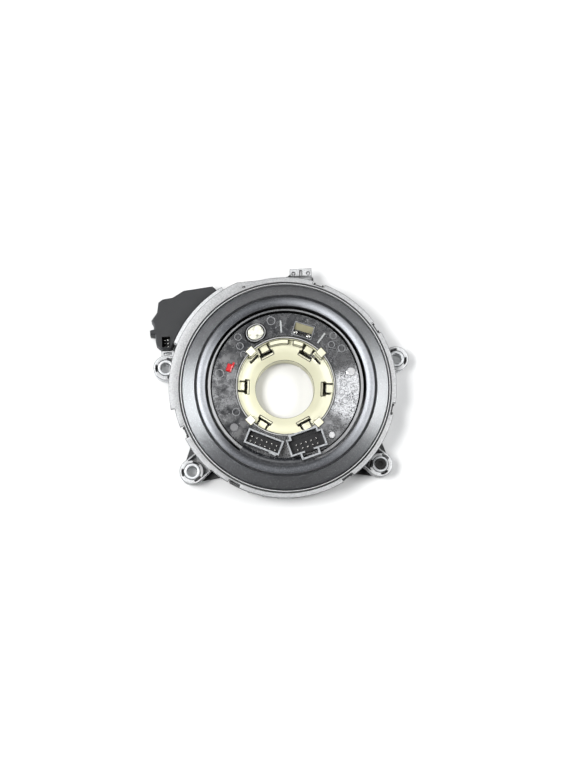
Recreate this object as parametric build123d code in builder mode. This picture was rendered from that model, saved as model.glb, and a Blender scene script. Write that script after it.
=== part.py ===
from build123d import *
import os
from math import atan2, cos, degrees, radians, sin

os.makedirs("parts", exist_ok=True)

# Steering clock spring. Millimetres and degrees. The origin is on the rotation axis, in the plane on which
# the mounting ears seat. +Z points towards the driver, and +Y is up when the wheel is straight ahead.

# ---- fits and clearances ----
running_gap = 0.5        # between the rotor's rim and the housing lip
thrust_gap = 0.3         # axial play of the rotor on the base cover
seat_gap = 0.1           # loose fit between fixed plastic pieces
pin_gap = 0.05           # pins in their moulded holes
slide_gap = 0.25         # lock button in its collar

# ---- housing (light grey stator shell) ----
housing_inner_radius = 68.6
housing_wall = 1.6
flange_radius = 73.6
flange_top = 21.4
flange_thickness = 2.4
lip_width = 1.0          # upstand round the rotor
lip_height = 0.6         # above the flange
groove_width = 0.7       # drain groove between lip and flange
groove_depth = 1.8
flare_radius = 77.0      # wider flange on the left side
flare_start, flare_end = 112.0, 189.0
flare_slant_start = 101.0
step_radius = 74.4       # lower left part of the flange
step_end = 226.0
snap_angles = (31.0, 69.5, 202.0, 239.6, 301.8, 346.0)
snap_notch_width = 8.0
snap_notch_depth = 2.2
wall_rib_thickness = 1.2
wall_rib_radius = 72.6
wall_rib_spacing = 8       # degrees
wall_rib_bottom = 2.0
wall_rib_arm_gap = 5.0   # degrees kept free beside an arm or the shelf
wall_rib_ear_gap = 12.0  # and beside an ear or the tab
mark_radius, mark_angle = 72.3, 110.0  # a small sunk mark on the flange
mark_length, mark_width, mark_depth = 1.7, 0.9, 0.5

# ---- mounting ears ----
upper_left_ear_x, upper_right_ear_x, upper_ear_y = 78.5, 75.4, 17.6
lower_left_ear_x, lower_left_ear_y = 63.7, 52.3
lower_right_ear_x, lower_right_ear_y = 61.0, 52.7
ear_radius = 8.3
ear_height = 10.0
ear_root_radius = 7.8
ear_root_reach = 62.0
sleeve_outer_radius = 5.3
sleeve_hole_radius = 3.4
sleeve_proud = 0.4
relief_radius = 6.4      # arc slots that let the boss grip the sleeve
relief_width = 1.0
relief_angle = 34.0
relief_starts = (60.0, 105.0, 64.0, 54.0)  # where each ear's first slot lies
neck_wall = 1.2
neck_pocket_depth = 8.6
neck_pocket_reach = 7.5  # from the middle of the ear

# ---- clip tab at the top of the housing ----
tab_x = 13.9
tab_width = 14.6
tab_outer_y = 80.0
tab_root_y = 50.0        # inside the wall, which trims it
tab_bottom, tab_top = 11.0, 17.0
tab_slot_width = 1.6
tab_slot_length = 4.2
tab_dimple_radius = 1.1
tab_dimple_spacing = 9.8
tab_dimple_depth = 1.2
tab_slot_inset = 1.2     # from the tab's outer edge
tab_groove_y, tab_groove_width, tab_groove_depth = 74.4, 0.9, 2.5
shoulder_radius = 73.9   # the flange above the tab
shoulder_start, shoulder_end = 73.0, 87.0

# ---- shelf that carries the module ----
shelf_radius = 79.9
shelf_start, shelf_end = 119.5, 155.5
shelf_top = 17.0
shelf_thickness = 2.0
shelf_skirt = 2.2
bracket_x, bracket_y = -76.8, 26.4
bracket_width, bracket_length = 8.6, 5.6
bracket_top, bracket_bottom = 8.4, 4.4
bracket_slot_width, bracket_slot_length = 1.4, 5.0
bracket_slot_offset = 0.9

# ---- base cover ----
base_depth = 4.0         # the base stands this far below the ears' seat
base_plate = 2.0
base_bore_radius = 33.8
base_rib_thickness = 1.5
base_inner_ring_radius = 39.0
base_middle_ring_radius = 53.0
base_rib_count = 12
locating_ring_width = 1.7
locating_ring_height = 2.0
arm_width = 7.0
arm_thickness = 1.5
arm_head_reach = 1.0     # an arm ends in a head under the flange's notch
arm_head_height = 2.2
arm_lug_length, arm_lug_width = 1.3, 1.2  # lugs at its two ends rise into the notch
arm_lug_top = 20.6
arm_window_width = 4.0
arm_window_bottom, arm_window_top = 4.4, 8.0
foot_overlap = 1.0       # an arm's foot reaches this far into the plate's edge
web_root_reach, web_root_radius = 62.0, 17.0     # webs beside the lower ears' necks
web_tip_reach, web_tip_radius = 78.0, 8.8
tab_web_corners = ((72.2, 89.5), (74.8, 86.0), (77.0, 84.6), (77.0, 73.9), (75.2, 72.9), (72.2, 72.9))
tab_web_top, tab_flank_top = 10.5, 18.8  # below the tab and beside it
nib_bottom = 5.0
nib_height = 2.4
nib_width = 3.4
nib_reach = 1.7

# ---- rotor cover (black) ----
crest_top = 30.0
rim_edge_top = 21.7
skirt_depth = 3.3
outer_band_width = 7.9
groove_opening = 1.8
groove_drop = 2.0
inner_band_width = 5.4
inner_band_drop = 1.2    # its inner edge below the crest
inner_band_shoulder = 0.8  # its outer edge
inner_band_crown = 0.3   # and its middle
channel_width = 1.9
channel_floor = 21.8
cover_shell = 2.0
face_top = 25.8
island_rim_width = 1.7
island_rim_height = 1.4
moat_width, moat_depth = 0.9, 0.6  # shallow groove in the face, inside the rim
hub_inner_radius = 33.4
hub_wall = 2.0
hub_lip_width = 0.9
hub_lip_height = 0.7
bridge_start, bridge_end = 232.5, 288.5
bridge_inner_radius = 47.6
bridge_bite = 0.8        # how far it runs into the walls beside it
face_rib_angles = (51.0, 92.0)
face_rib_width = 1.1
face_rib_height = 0.9
face_rib_start, face_rib_end = 35.4, 43.6

# ---- inner hub (cream) ----
bore_radius = 19.5
bore_top = 9.8
bore_wall = 1.7
hub_bottom = -3.4
funnel_wall = 2.0
funnel_step_radius, funnel_step_height = 25.4, 16.2
funnel_top_height = 18.3
hub_ring_wall = 1.6
hub_ring_top = 25.2
hub_flange_radius = 36.4
hub_flange_thickness = 1.1
tongue_count = 6
tongue_start_angle = -4.0
tongue_width = 5.4
tongue_inner_radius = 26.3
tongue_outer_radius = 31.2
tongue_top = 18.8
tongue_slot = 0.9
tongue_bar_length = 9.4
tongue_bar_width = 1.0
nose_width, nose_floor = 1.5, 14.2  # shallow pocket on the bore side of the cross slot
tongue_thickness = 2.0
tongue_depth = 12.0      # how far down the slots are cut
tab_seat = 24.5
tab_angles = (41.0, 132.5, 222.0, 309.5)
tab_size = 5.6
tab_inner_reach = 1.9
tab_reach = 1.6
tab_thickness = 1.4
bar_slot_angles = (39.5, 134.5)
bar_slot_radius, bar_slot_length, bar_slot_width = 28.0, 7.2, 1.1
block_inner_radius, block_top = 28.9, 22.0
block_spans = ((84.0, 108.0), (64.5, 77.5))
hub_rib_count = 12
hub_rib_thickness = 1.2
hub_rib_height = 8.0

# ---- steering wheel sockets ----
socket_wall = 1.1
socket_floor = 1.4
socket_ledge = 2.2       # bearing on the rotor's face, all round
socket_height = 6.6
left_socket_angle, left_socket_length = 246.4, 24.4
left_socket_inner, left_socket_outer = 35.4, 45.4
right_socket_angle, right_socket_length = 286.8, 25.0
right_socket_inner, right_socket_outer = 34.8, 46.2
pin_row_radius = 41.2
hood_reach, hood_length = 2.6, 19.6
hood_bottom = 27.0
latch_bottom = 27.4
key_inset, key_width, key_depth = 4.0, 5.0, 0.9
latch_length, latch_width, latch_wall = 13.0, 4.2, 1.2
latch_notch = 6.0
latch_notch_depth = 3.0
pin_pitch = 3.4
pin_row_pitch = 3.2
pin_size = 0.7
pin_height = 2.8
pin_tail = 3.0
left_pin_columns, left_pin_rows = 6, 2
right_pin_columns, right_pin_rows = 5, 2

# ---- lock button, its collar and spring ----
lock_radius, lock_angle = 40.3, 116.9
lock_length, lock_width = 10.6, 8.6
lock_top = 29.6
lock_skirt_bottom = 23.2
lock_travel = 3.0
collar_wall = 1.0
collar_top = 28.0
well_floor = 18.0
well_floor_thickness = 1.4
stem_radius = 1.7
stem_bottom = 20.0
lock_shoulder = 27.4
lobe_radius = 2.0
lobe_spread = 1.7
lobe_reach = 2.6
lobe_chamfer = 0.4
spring_radius = 2.7
spring_wire_radius = 0.3
spring_turns = 4
spring_seat_gap = 0.1

# ---- position flag, window and small fittings ----
flag_radius, flag_angle = 38.9, 160.0
flag_length, flag_width, flag_height = 5.2, 3.6, 2.2
flag_recess = 0.8
flag_chamfer = 0.7
flag_tab_length, flag_tab_width = 3.6, 1.3
window_angle = 70.1
window_width = 12.4
window_inner_radius, window_outer_radius = 34.8, 42.6
pit_outer_radius = 38.3
pit_floor = 20.0
pit_floor_thickness = 1.6
pit_wall = 0.6
window_tongue_thickness = 1.2
window_tongue_drop = 3.2
post_radius = 1.15
post_top = 26.6
post_spacing = 8.8
post_seat_radius = 36.1
post_chamfer = 0.35
boss_radius, boss_angle = 34.9, 268.3
boss_size, boss_height = 2.4, 1.1
boss_hole_radius = 0.7
rivet_places = ((44.1, 10.0, 2.9), (44.4, 310.5, 2.3), (43.7, 216.7, 2.7))
rivet_names = ("rivet_right", "rivet_lower_right", "rivet_lower_left")
rivet_head = 0.6
rivet_shank_radius = 1.3

# ---- ribbon cable and its terminals ----
ribbon_turns = 5
ribbon_thickness = 0.4
ribbon_bottom, ribbon_top = 0.8, 15.8
glide_thickness = 0.5
glide_clearance = 1.0
terminal_angle = 138.0
terminal_width = 10.0
terminal_bottom, terminal_top = 2.5, 15.0
terminal_depth = 3.0
terminal_reach = 8.0     # length before its outer end is trimmed to the wall
inner_span = 7.0         # half the inner terminal's width, in degrees about the axis

# ---- harness module (matte black, upper left) ----
module_outline = (
    (-45.4, 71.3), (-64.7, 69.1), (-69.6, 66.3), (-72.5, 64.6), (-79.1, 63.7), (-81.9, 61.7),
    (-83.0, 54.9), (-87.0, 49.4), (-85.5, 46.8), (-85.5, 43.6), (-88.2, 42.9), (-88.2, 40.0),
    (-84.9, 39.9), (-84.4, 33.6), (-80.8, 30.0), (-70.0, 29.6), (-55.0, 52.0), (-40.0, 66.0),
)
module_bottom, module_split, module_top = -2.0, 9.4, 12.0
module_wall = 1.6
module_foot_start, module_foot_end = 124.0, 152.0
module_foot_top = 7.8
well_x, well_y = -77.7, 34.7
well_width, well_length = 5.6, 7.2
well_bottom = 2.4
well_wall = 1.4
nose_length = 24.0       # the solid nose of the case, below the well's middle
board_bottom, board_thickness = 1.8, 1.6
board_post_radius = 1.8
board_posts = ((-76.0, 58.0), (-60.0, 62.5), (-79.0, 47.0))
module_pin_pitch = 2.2
module_pin_size = 0.6
module_pin_height = 3.4
module_chamfer = 0.8

# ---- captive screw ----
screw_head_radius, screw_head_height = 3.8, 3.0
screw_shank_radius = 2.6
screw_bottom = -3.6
screw_socket_radius, screw_socket_depth = 1.9, 1.8
screw_chamfer = 0.4

# ---- sizes that follow from the ones above ----
housing_outer_radius = housing_inner_radius + housing_wall
dish_radius = housing_inner_radius - running_gap
outer_band_inner = dish_radius - outer_band_width
inner_band_outer = outer_band_inner - groove_opening
inner_band_inner = inner_band_outer - inner_band_width
island_radius = inner_band_inner - channel_width
island_inner = island_radius - island_rim_width
moat_inner = island_inner - moat_width
hub_outer_radius = hub_inner_radius + hub_wall
inner_ring_radius = hub_inner_radius - seat_gap
ear_places = {
    "upper_left": (-upper_left_ear_x, upper_ear_y),
    "upper_right": (upper_right_ear_x, upper_ear_y),
    "lower_left": (-lower_left_ear_x, -lower_left_ear_y),
    "lower_right": (lower_right_ear_x, -lower_right_ear_y),
}
collar_length = lock_length + 2 * (slide_gap + collar_wall)
collar_width = lock_width + 2 * (slide_gap + collar_wall)
terminal_outer_face = housing_inner_radius - terminal_depth
terminal_inner_face = hub_outer_radius + seat_gap + terminal_depth
ribbon_start_radius = terminal_inner_face + thrust_gap + ribbon_thickness / 2
ribbon_end_radius = terminal_outer_face - thrust_gap - ribbon_thickness / 2
socket_top = face_top + socket_height
socket_seat = face_top + socket_floor
socket_names = ("left", "right")
pin_grids = ((left_pin_columns, left_pin_rows), (right_pin_columns, right_pin_rows))
socket_sizes = (
    (left_socket_angle, left_socket_length, left_socket_inner, left_socket_outer),
    (right_socket_angle, right_socket_length, right_socket_inner, right_socket_outer),
)
lobe_places = [(side * lobe_spread, end * lobe_reach) for side in (-1, 1) for end in (-1, 1)]


def turn_between(first, second):
    """Return the smaller angle between two directions in a plan view."""
    return abs((first - second + 180) % 360 - 180)


def on_circle(radius, angle):
    """Return the point at a radius and angle in a plan view."""
    return (radius * cos(radians(angle)), radius * sin(radians(angle)))


def seat(radius, angle, height):
    """Return a plane at a polar place, with x pointing outward and z up."""
    return Plane((*on_circle(radius, angle), height), x_dir=(*on_circle(1, angle), 0))


def sector(inner_radius, outer_radius, start, end, mode=Mode.ADD):
    """Draw a ring sector about the rotation axis in the sketch that is open."""
    with BuildLine() as ring:
        outer = CenterArc((0, 0), outer_radius, start, end - start)
        inner = CenterArc((0, 0), inner_radius, start, end - start)
        Line(outer @ 0, inner @ 0)
        Line(outer @ 1, inner @ 1)
    make_face(ring.edges(), mode=mode)


def upright(angle):
    """Return a plane through the rotation axis, with x pointing outward and y up."""
    return Plane(origin=(0, 0, 0), x_dir=(*on_circle(1, angle), 0), z_dir=(*on_circle(1, angle - 90), 0))


def finish(piece, name):
    """Label a finished piece and write it out."""
    piece.part.label = name
    export_step(piece.part, f"parts/{name}.step")


# ---- housing: wall, lip and groove as one turned profile, then flange, shelf, ears and tab ----
lip_outer = housing_inner_radius + lip_width
groove_outer = lip_outer + groove_width
flange_bottom = flange_top - flange_thickness
wall_middle = housing_outer_radius - housing_wall / 2
with BuildPart() as housing:
    with BuildSketch(Plane.XZ):
        with BuildLine():
            Polyline(
                (housing_inner_radius, 0),
                (housing_outer_radius, 0),
                (housing_outer_radius, flange_bottom),
                (flange_radius, flange_bottom),
                (flange_radius, flange_top),
                (groove_outer, flange_top),
                (groove_outer, flange_top - groove_depth),
                (lip_outer, flange_top - groove_depth),
                (lip_outer, flange_top + lip_height),
                (housing_inner_radius, flange_top + lip_height),
                close=True,
            )
        make_face()
    revolve(axis=Axis.Z)

    # wide left side of the flange, with a straight run up to it, and the shoulder under the clip tab
    with BuildSketch(Plane.XY.offset(flange_bottom)):
        sector(groove_outer, flare_radius, flare_start, flare_end)
        sector(groove_outer, step_radius, flare_end, step_end)
        sector(groove_outer, shoulder_radius, shoulder_start, shoulder_end)
        with BuildLine():
            groove_run = CenterArc((0, 0), groove_outer, flare_slant_start, flare_start - flare_slant_start)
            Polyline(
                groove_run @ 0,
                on_circle(flange_radius, flare_slant_start),
                on_circle(flare_radius, flare_start),
                groove_run @ 1,
            )
        make_face()
    extrude(amount=flange_thickness)

    # snap notches, through which the base cover's arms are seen
    with BuildSketch(Plane.XY.offset(flange_bottom)):
        for angle in snap_angles:
            with Locations(seat(flange_radius, angle, 0)):
                Rectangle(2 * snap_notch_depth, snap_notch_width)
    extrude(amount=flange_thickness, mode=Mode.SUBTRACT)
    with BuildSketch(Plane.XY.offset(flange_top)):
        with Locations(seat(mark_radius, mark_angle, 0)):
            Rectangle(mark_width, mark_length)
    extrude(amount=-mark_depth, mode=Mode.SUBTRACT)

    # shelf over the module: a plate with a skirt along its edge
    with BuildSketch(Plane.XY.offset(shelf_top - shelf_thickness)):
        sector(wall_middle, shelf_radius, shelf_start, shelf_end)
    extrude(amount=shelf_thickness)
    with BuildSketch(Plane.XY.offset(module_foot_top + seat_gap)):
        sector(shelf_radius - shelf_skirt, shelf_radius, shelf_start, shelf_end)
    extrude(amount=shelf_top - shelf_thickness - module_foot_top - seat_gap)

    # ears: a round boss joined to the wall by its tangents, with pockets in the neck
    for ear_x, ear_y in ear_places.values():
        ear_angle = degrees(atan2(ear_y, ear_x))
        with BuildSketch(Plane.XY):
            with Locations((ear_x, ear_y)):
                Circle(ear_radius)
            with Locations(on_circle(ear_root_reach, ear_angle)):
                Circle(ear_root_radius)
            make_hull()
            Circle(wall_middle, mode=Mode.SUBTRACT)
        extrude(amount=ear_height)
        with BuildSketch(Plane.XY.offset(ear_height)):
            with Locations((ear_x, ear_y)):
                Circle(ear_radius)
            with Locations(on_circle(ear_root_reach, ear_angle)):
                Circle(ear_root_radius)
            make_hull()
            offset(amount=-neck_wall)
            with Locations((ear_x, ear_y)):
                Circle(neck_pocket_reach, mode=Mode.SUBTRACT)
            Circle(housing_outer_radius, mode=Mode.SUBTRACT)
        extrude(amount=-neck_pocket_depth, mode=Mode.SUBTRACT)

    # sleeve bores and the arc slots that let each boss grip its sleeve
    with BuildSketch(Plane.XY):
        with Locations(*ear_places.values()):
            Circle(sleeve_outer_radius + seat_gap)
    extrude(amount=ear_height, mode=Mode.SUBTRACT)
    with BuildSketch(Plane.XY.offset(ear_height)):
        for ear_place, relief_start in zip(ear_places.values(), relief_starts):
            for third in range(3):
                slot_start = relief_start - relief_angle / 2 + 120 * third
                with Locations(ear_place):
                    SlotArc(CenterArc((0, 0), relief_radius, slot_start, relief_angle), relief_width)
    extrude(amount=-neck_pocket_depth, mode=Mode.SUBTRACT)

    # clip tab at the top, with its slot and two dimples
    with BuildSketch(Plane.XY.offset(tab_bottom)):
        with Locations((tab_x, (tab_outer_y + tab_root_y) / 2)):
            Rectangle(tab_width, tab_outer_y - tab_root_y)
        Circle(wall_middle, mode=Mode.SUBTRACT)
    extrude(amount=tab_top - tab_bottom)
    with BuildSketch(Plane.XY.offset(tab_top)):
        with Locations((tab_x, tab_groove_y)):
            Rectangle(tab_width, tab_groove_width)
    extrude(amount=-tab_groove_depth, mode=Mode.SUBTRACT)
    tab_detail = Plane((tab_x, tab_outer_y - tab_slot_inset - tab_slot_length / 2, tab_top))
    with BuildSketch(tab_detail):
        Rectangle(tab_slot_width, tab_slot_length)
        with GridLocations(tab_dimple_spacing, 1, 2, 1):
            Circle(tab_dimple_radius)
    extrude(amount=-tab_dimple_depth, mode=Mode.SUBTRACT)

    # small bracket between the module and the upper left ear
    with BuildSketch(Plane.XY.offset(bracket_bottom)):
        with Locations((bracket_x, bracket_y)):
            Rectangle(bracket_width, bracket_length)
        with Locations(ear_places["upper_left"]):
            Circle(ear_radius - neck_wall / 2, mode=Mode.SUBTRACT)
        with Locations((bracket_x, bracket_y + bracket_slot_offset)):
            Rectangle(bracket_slot_length, bracket_slot_width, mode=Mode.SUBTRACT)
    extrude(amount=bracket_top - bracket_bottom)

    # stiffening ribs on the outside of the wall, where nothing else stands there
    wide_places = (*ear_places.values(), (tab_x, tab_outer_y))
    kept_free = [(degrees(atan2(y, x)), wall_rib_ear_gap) for x, y in wide_places]
    kept_free += [(angle, wall_rib_arm_gap) for angle in snap_angles]
    kept_free.append(((shelf_start + shelf_end) / 2, (shelf_end - shelf_start) / 2 + wall_rib_arm_gap))
    with BuildSketch(Plane.XY.offset(wall_rib_bottom)):
        for angle in range(0, 360, wall_rib_spacing):
            if any(turn_between(angle, other) < gap for other, gap in kept_free):
                continue
            with Locations(seat((wall_middle + wall_rib_radius) / 2, angle, 0)):
                Rectangle(wall_rib_radius - wall_middle, wall_rib_thickness)
    extrude(amount=flange_bottom - wall_rib_bottom)

    # nibs over which the snap arms catch
    for angle in snap_angles:
        with BuildSketch(upright(angle)):
            with BuildLine():
                Polyline(
                    (wall_middle, nib_bottom),
                    (housing_outer_radius, nib_bottom),
                    (housing_outer_radius + nib_reach, nib_bottom + nib_height),
                    (wall_middle, nib_bottom + nib_height),
                    close=True,
                )
            make_face()
        extrude(amount=nib_width / 2, both=True)

    # window for the ribbon's outer terminal
    with BuildSketch(seat(wall_middle, terminal_angle, terminal_bottom - seat_gap)):
        Rectangle(2 * housing_wall, terminal_width + 2 * seat_gap)
    extrude(amount=terminal_top - terminal_bottom + 2 * seat_gap, mode=Mode.SUBTRACT)
finish(housing, "housing_shell")

# ---- compression sleeves and the captive screw ----
for ear_name, ear_place in ear_places.items():
    with BuildPart() as sleeve:
        with BuildSketch(Plane.XY):
            with Locations(ear_place):
                Circle(sleeve_outer_radius)
                Circle(sleeve_hole_radius, mode=Mode.SUBTRACT)
        extrude(amount=ear_height + sleeve_proud)
    finish(sleeve, f"sleeve_{ear_name}")

screw_seat = ear_height + sleeve_proud
with BuildPart() as captive_screw:
    with BuildSketch(Plane.XY.offset(screw_bottom)):
        with Locations(ear_places["lower_right"]):
            Circle(screw_shank_radius)
    extrude(amount=screw_seat - screw_bottom)
    with BuildSketch(Plane.XY.offset(screw_seat)):
        with Locations(ear_places["lower_right"]):
            Circle(screw_head_radius)
    extrude(amount=screw_head_height)
    chamfer(captive_screw.edges().filter_by(GeomType.CIRCLE).sort_by(Axis.Z)[-1], screw_chamfer)
    with BuildSketch(Plane.XY.offset(screw_seat + screw_head_height)):
        with Locations(ear_places["lower_right"]):
            RegularPolygon(screw_socket_radius, 6)
    extrude(amount=-screw_socket_depth, mode=Mode.SUBTRACT)
finish(captive_screw, "captive_screw")

# ---- base cover: plate, locating ring, ribs below and snap arms outside the wall ----
rib_depth = base_depth - base_plate
locating_outer = housing_inner_radius - seat_gap
arm_inner = housing_outer_radius + seat_gap
arm_top = flange_bottom - seat_gap
arm_lug_middle = flange_radius - snap_notch_depth + seat_gap + arm_lug_length / 2
with BuildPart() as base_cover:
    with BuildSketch(Plane.XY.offset(-base_plate)):
        Circle(housing_outer_radius)
        Circle(base_bore_radius, mode=Mode.SUBTRACT)
    extrude(amount=base_plate)
    with BuildSketch(Plane.XY):
        Circle(locating_outer)
        Circle(locating_outer - locating_ring_width, mode=Mode.SUBTRACT)
        with Locations(seat(locating_outer, terminal_angle, 0)):
            Rectangle(terminal_reach, terminal_width + 2 * slide_gap, mode=Mode.SUBTRACT)
    extrude(amount=locating_ring_height)
    with BuildSketch(Plane.XY.offset(-base_plate)):
        for ring_outer in (housing_outer_radius, base_middle_ring_radius, base_inner_ring_radius):
            Circle(ring_outer)
            Circle(ring_outer - base_rib_thickness, mode=Mode.SUBTRACT)
        rib_start = base_inner_ring_radius - base_rib_thickness / 2
        rib_end = housing_outer_radius - base_rib_thickness / 2
        for rib in range(base_rib_count):
            with Locations(seat((rib_start + rib_end) / 2, 360 * rib / base_rib_count, 0)):
                Rectangle(rib_end - rib_start, base_rib_thickness)
    extrude(amount=-rib_depth)
    for angle in snap_angles:
        with BuildSketch(seat(housing_outer_radius, angle, -base_plate)):
            with Locations((seat_gap + arm_thickness / 2 - foot_overlap / 2, 0)):
                Rectangle(arm_thickness + foot_overlap, arm_width)
        extrude(amount=base_plate)
        with BuildSketch(seat(arm_inner + arm_thickness / 2, angle, 0)):
            Rectangle(arm_thickness, arm_width)
        extrude(amount=arm_top)
        with BuildSketch(seat(arm_inner + arm_head_reach, angle, arm_top - arm_head_height)):
            Rectangle(2 * arm_head_reach, arm_width)
        extrude(amount=arm_head_height)
        with BuildSketch(seat(arm_lug_middle, angle, arm_top - arm_head_height)):
            with GridLocations(0, arm_width - arm_lug_width, 1, 2):
                Rectangle(arm_lug_length, arm_lug_width)
        extrude(amount=arm_lug_top - arm_top + arm_head_height)
        with BuildSketch(seat(arm_inner + arm_thickness / 2, angle, arm_window_bottom)):
            Rectangle(2 * arm_thickness, arm_window_width)
        extrude(amount=arm_window_top - arm_window_bottom, mode=Mode.SUBTRACT)

    # webs that show on both sides of the lower ears' necks, open round the ears' bosses
    with BuildSketch(Plane.XY.offset(-base_plate)):
        for ear_name in ("lower_left", "lower_right"):
            ear_angle = degrees(atan2(ear_places[ear_name][1], ear_places[ear_name][0]))
            with BuildSketch(mode=Mode.PRIVATE) as web:
                with Locations(on_circle(web_root_reach, ear_angle)):
                    Circle(web_root_radius)
                with Locations(on_circle(web_tip_reach, ear_angle)):
                    Circle(web_tip_radius)
                make_hull()
                with Locations(ear_places[ear_name]):
                    Circle(ear_radius + seat_gap, mode=Mode.SUBTRACT)
                Circle(housing_outer_radius - foot_overlap, mode=Mode.SUBTRACT)
            add(web.sketch)
    extrude(amount=base_plate)

    # web that stands under the housing's clip tab and rises beside it
    tab_web_points = [on_circle(radius, angle) for radius, angle in tab_web_corners]
    with BuildSketch(Plane.XY.offset(-base_plate)):
        Polygon(*tab_web_points, (0, 0), align=None)
        Circle(housing_outer_radius - foot_overlap, mode=Mode.SUBTRACT)
    extrude(amount=base_plate)
    with BuildSketch(Plane.XY):
        Polygon(*tab_web_points, (0, 0), align=None)
        Circle(arm_inner, mode=Mode.SUBTRACT)
    extrude(amount=tab_web_top)
    with BuildSketch(Plane.XY):
        Polygon(*tab_web_points, (0, 0), align=None)
        Circle(arm_inner, mode=Mode.SUBTRACT)
        with Locations((tab_x, tab_outer_y)):
            Rectangle(tab_width + 2 * slide_gap, tab_outer_y, mode=Mode.SUBTRACT)
    extrude(amount=tab_flank_top)
finish(base_cover, "base_cover")

# ---- rotor cover: one turned shell, then the bridge, collar, window and fittings ----
with BuildPart() as rotor_cover:
    with BuildSketch(Plane.XZ):
        with BuildLine():
            outer_run = Polyline(
                (dish_radius, rim_edge_top - skirt_depth),
                (dish_radius, rim_edge_top),
                (outer_band_inner, crest_top),
                (outer_band_inner - groove_opening / 2, crest_top - groove_drop),
                (inner_band_outer, crest_top - inner_band_shoulder),
            )
            band_crown = ThreePointArc(
                outer_run @ 1,
                (inner_band_outer - inner_band_width / 2, crest_top - inner_band_crown),
                (inner_band_inner, crest_top - inner_band_drop),
            )
            Polyline(
                band_crown @ 1,
                (inner_band_inner, channel_floor),
                (island_radius, channel_floor),
                (island_radius, face_top + island_rim_height),
                (island_inner, face_top + island_rim_height),
                (island_inner, face_top - moat_depth),
                (moat_inner, face_top - moat_depth),
                (moat_inner, face_top),
                (hub_inner_radius + hub_lip_width, face_top),
                (hub_inner_radius + hub_lip_width, face_top + hub_lip_height),
                (hub_inner_radius, face_top + hub_lip_height),
                (hub_inner_radius, thrust_gap),
                (hub_outer_radius, thrust_gap),
                (hub_outer_radius, face_top - cover_shell),
                (island_inner, face_top - cover_shell),
                (island_inner, channel_floor - cover_shell),
                (inner_band_inner + cover_shell, channel_floor - cover_shell),
                (inner_band_inner + cover_shell, crest_top - inner_band_drop - cover_shell),
                (inner_band_outer, crest_top - groove_drop - cover_shell),
                (outer_band_inner - cover_shell / 2, crest_top - groove_drop - cover_shell),
                (dish_radius - cover_shell, rim_edge_top - cover_shell / 2),
                (dish_radius - cover_shell, rim_edge_top - skirt_depth),
                outer_run @ 0,
            )
        make_face()
    revolve(axis=Axis.Z)

    # bridge: at the bottom the rim stops, the channel is closed and slopes down to the face
    with BuildSketch(Plane.XY.offset(face_top)):
        sector(island_inner - seat_gap, island_radius + seat_gap, bridge_start, bridge_end)
    extrude(amount=island_rim_height, mode=Mode.SUBTRACT)
    with BuildSketch(upright(bridge_start)):
        with BuildLine():
            Polyline(
                (inner_band_inner + bridge_bite, channel_floor - bridge_bite),
                (inner_band_inner + bridge_bite, crest_top - inner_band_drop - cover_shell),
                (inner_band_inner, crest_top - inner_band_drop),
                (bridge_inner_radius, face_top),
                (bridge_inner_radius + bridge_bite, face_top - cover_shell + bridge_bite),
                (island_inner + bridge_bite, channel_floor - bridge_bite),
                close=True,
            )
        make_face()
    revolve(axis=Axis.Z, revolution_arc=bridge_end - bridge_start)

    # slim ribs on the face
    with BuildSketch(Plane.XY.offset(face_top)):
        for angle in face_rib_angles:
            with Locations(seat((face_rib_start + face_rib_end) / 2, angle, 0)):
                Rectangle(face_rib_end - face_rib_start, face_rib_width)
    extrude(amount=face_rib_height)

    # notches in the lip for the inner hub's square tabs
    with BuildSketch(Plane.XY.offset(tab_seat)):
        for angle in tab_angles:
            with Locations(seat(hub_inner_radius, angle, 0)):
                Rectangle(2 * (tab_reach + seat_gap), tab_size + 2 * seat_gap)
    extrude(amount=face_top + hub_lip_height - tab_seat, mode=Mode.SUBTRACT)

    # collar and spring well of the lock button
    with BuildSketch(seat(lock_radius, lock_angle, well_floor - well_floor_thickness)):
        SlotOverall(collar_length, collar_width, rotation=90)
    extrude(amount=collar_top - well_floor + well_floor_thickness)
    with BuildSketch(seat(lock_radius, lock_angle, well_floor)):
        SlotOverall(lock_length + 2 * slide_gap, lock_width + 2 * slide_gap, rotation=90)
    extrude(amount=collar_top - well_floor, mode=Mode.SUBTRACT)
    with BuildSketch(seat(lock_radius, lock_angle, well_floor)):
        Circle(stem_radius + slide_gap)
    extrude(amount=-well_floor_thickness, mode=Mode.SUBTRACT)

    # window with a pit beside it for the contact posts
    window_middle = (window_inner_radius + window_outer_radius) / 2
    pit_width = window_width + 2 * pit_wall
    pit_box_inner = window_inner_radius - pit_wall
    with BuildSketch(seat(window_middle, window_angle, face_top - cover_shell)):
        Rectangle(window_outer_radius - window_inner_radius, window_width)
    extrude(amount=cover_shell + hub_lip_height, mode=Mode.SUBTRACT)
    pit_bottom = pit_floor - pit_floor_thickness
    with BuildSketch(seat((pit_box_inner + pit_outer_radius) / 2, window_angle, pit_bottom)):
        Rectangle(pit_outer_radius - pit_box_inner, pit_width)
    extrude(amount=face_top - cover_shell - pit_bottom)
    pit_inside = pit_outer_radius - pit_wall
    with BuildSketch(seat((window_inner_radius + pit_inside) / 2, window_angle, pit_floor)):
        Rectangle(pit_inside - window_inner_radius, window_width)
    extrude(amount=face_top - pit_floor, mode=Mode.SUBTRACT)

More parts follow.
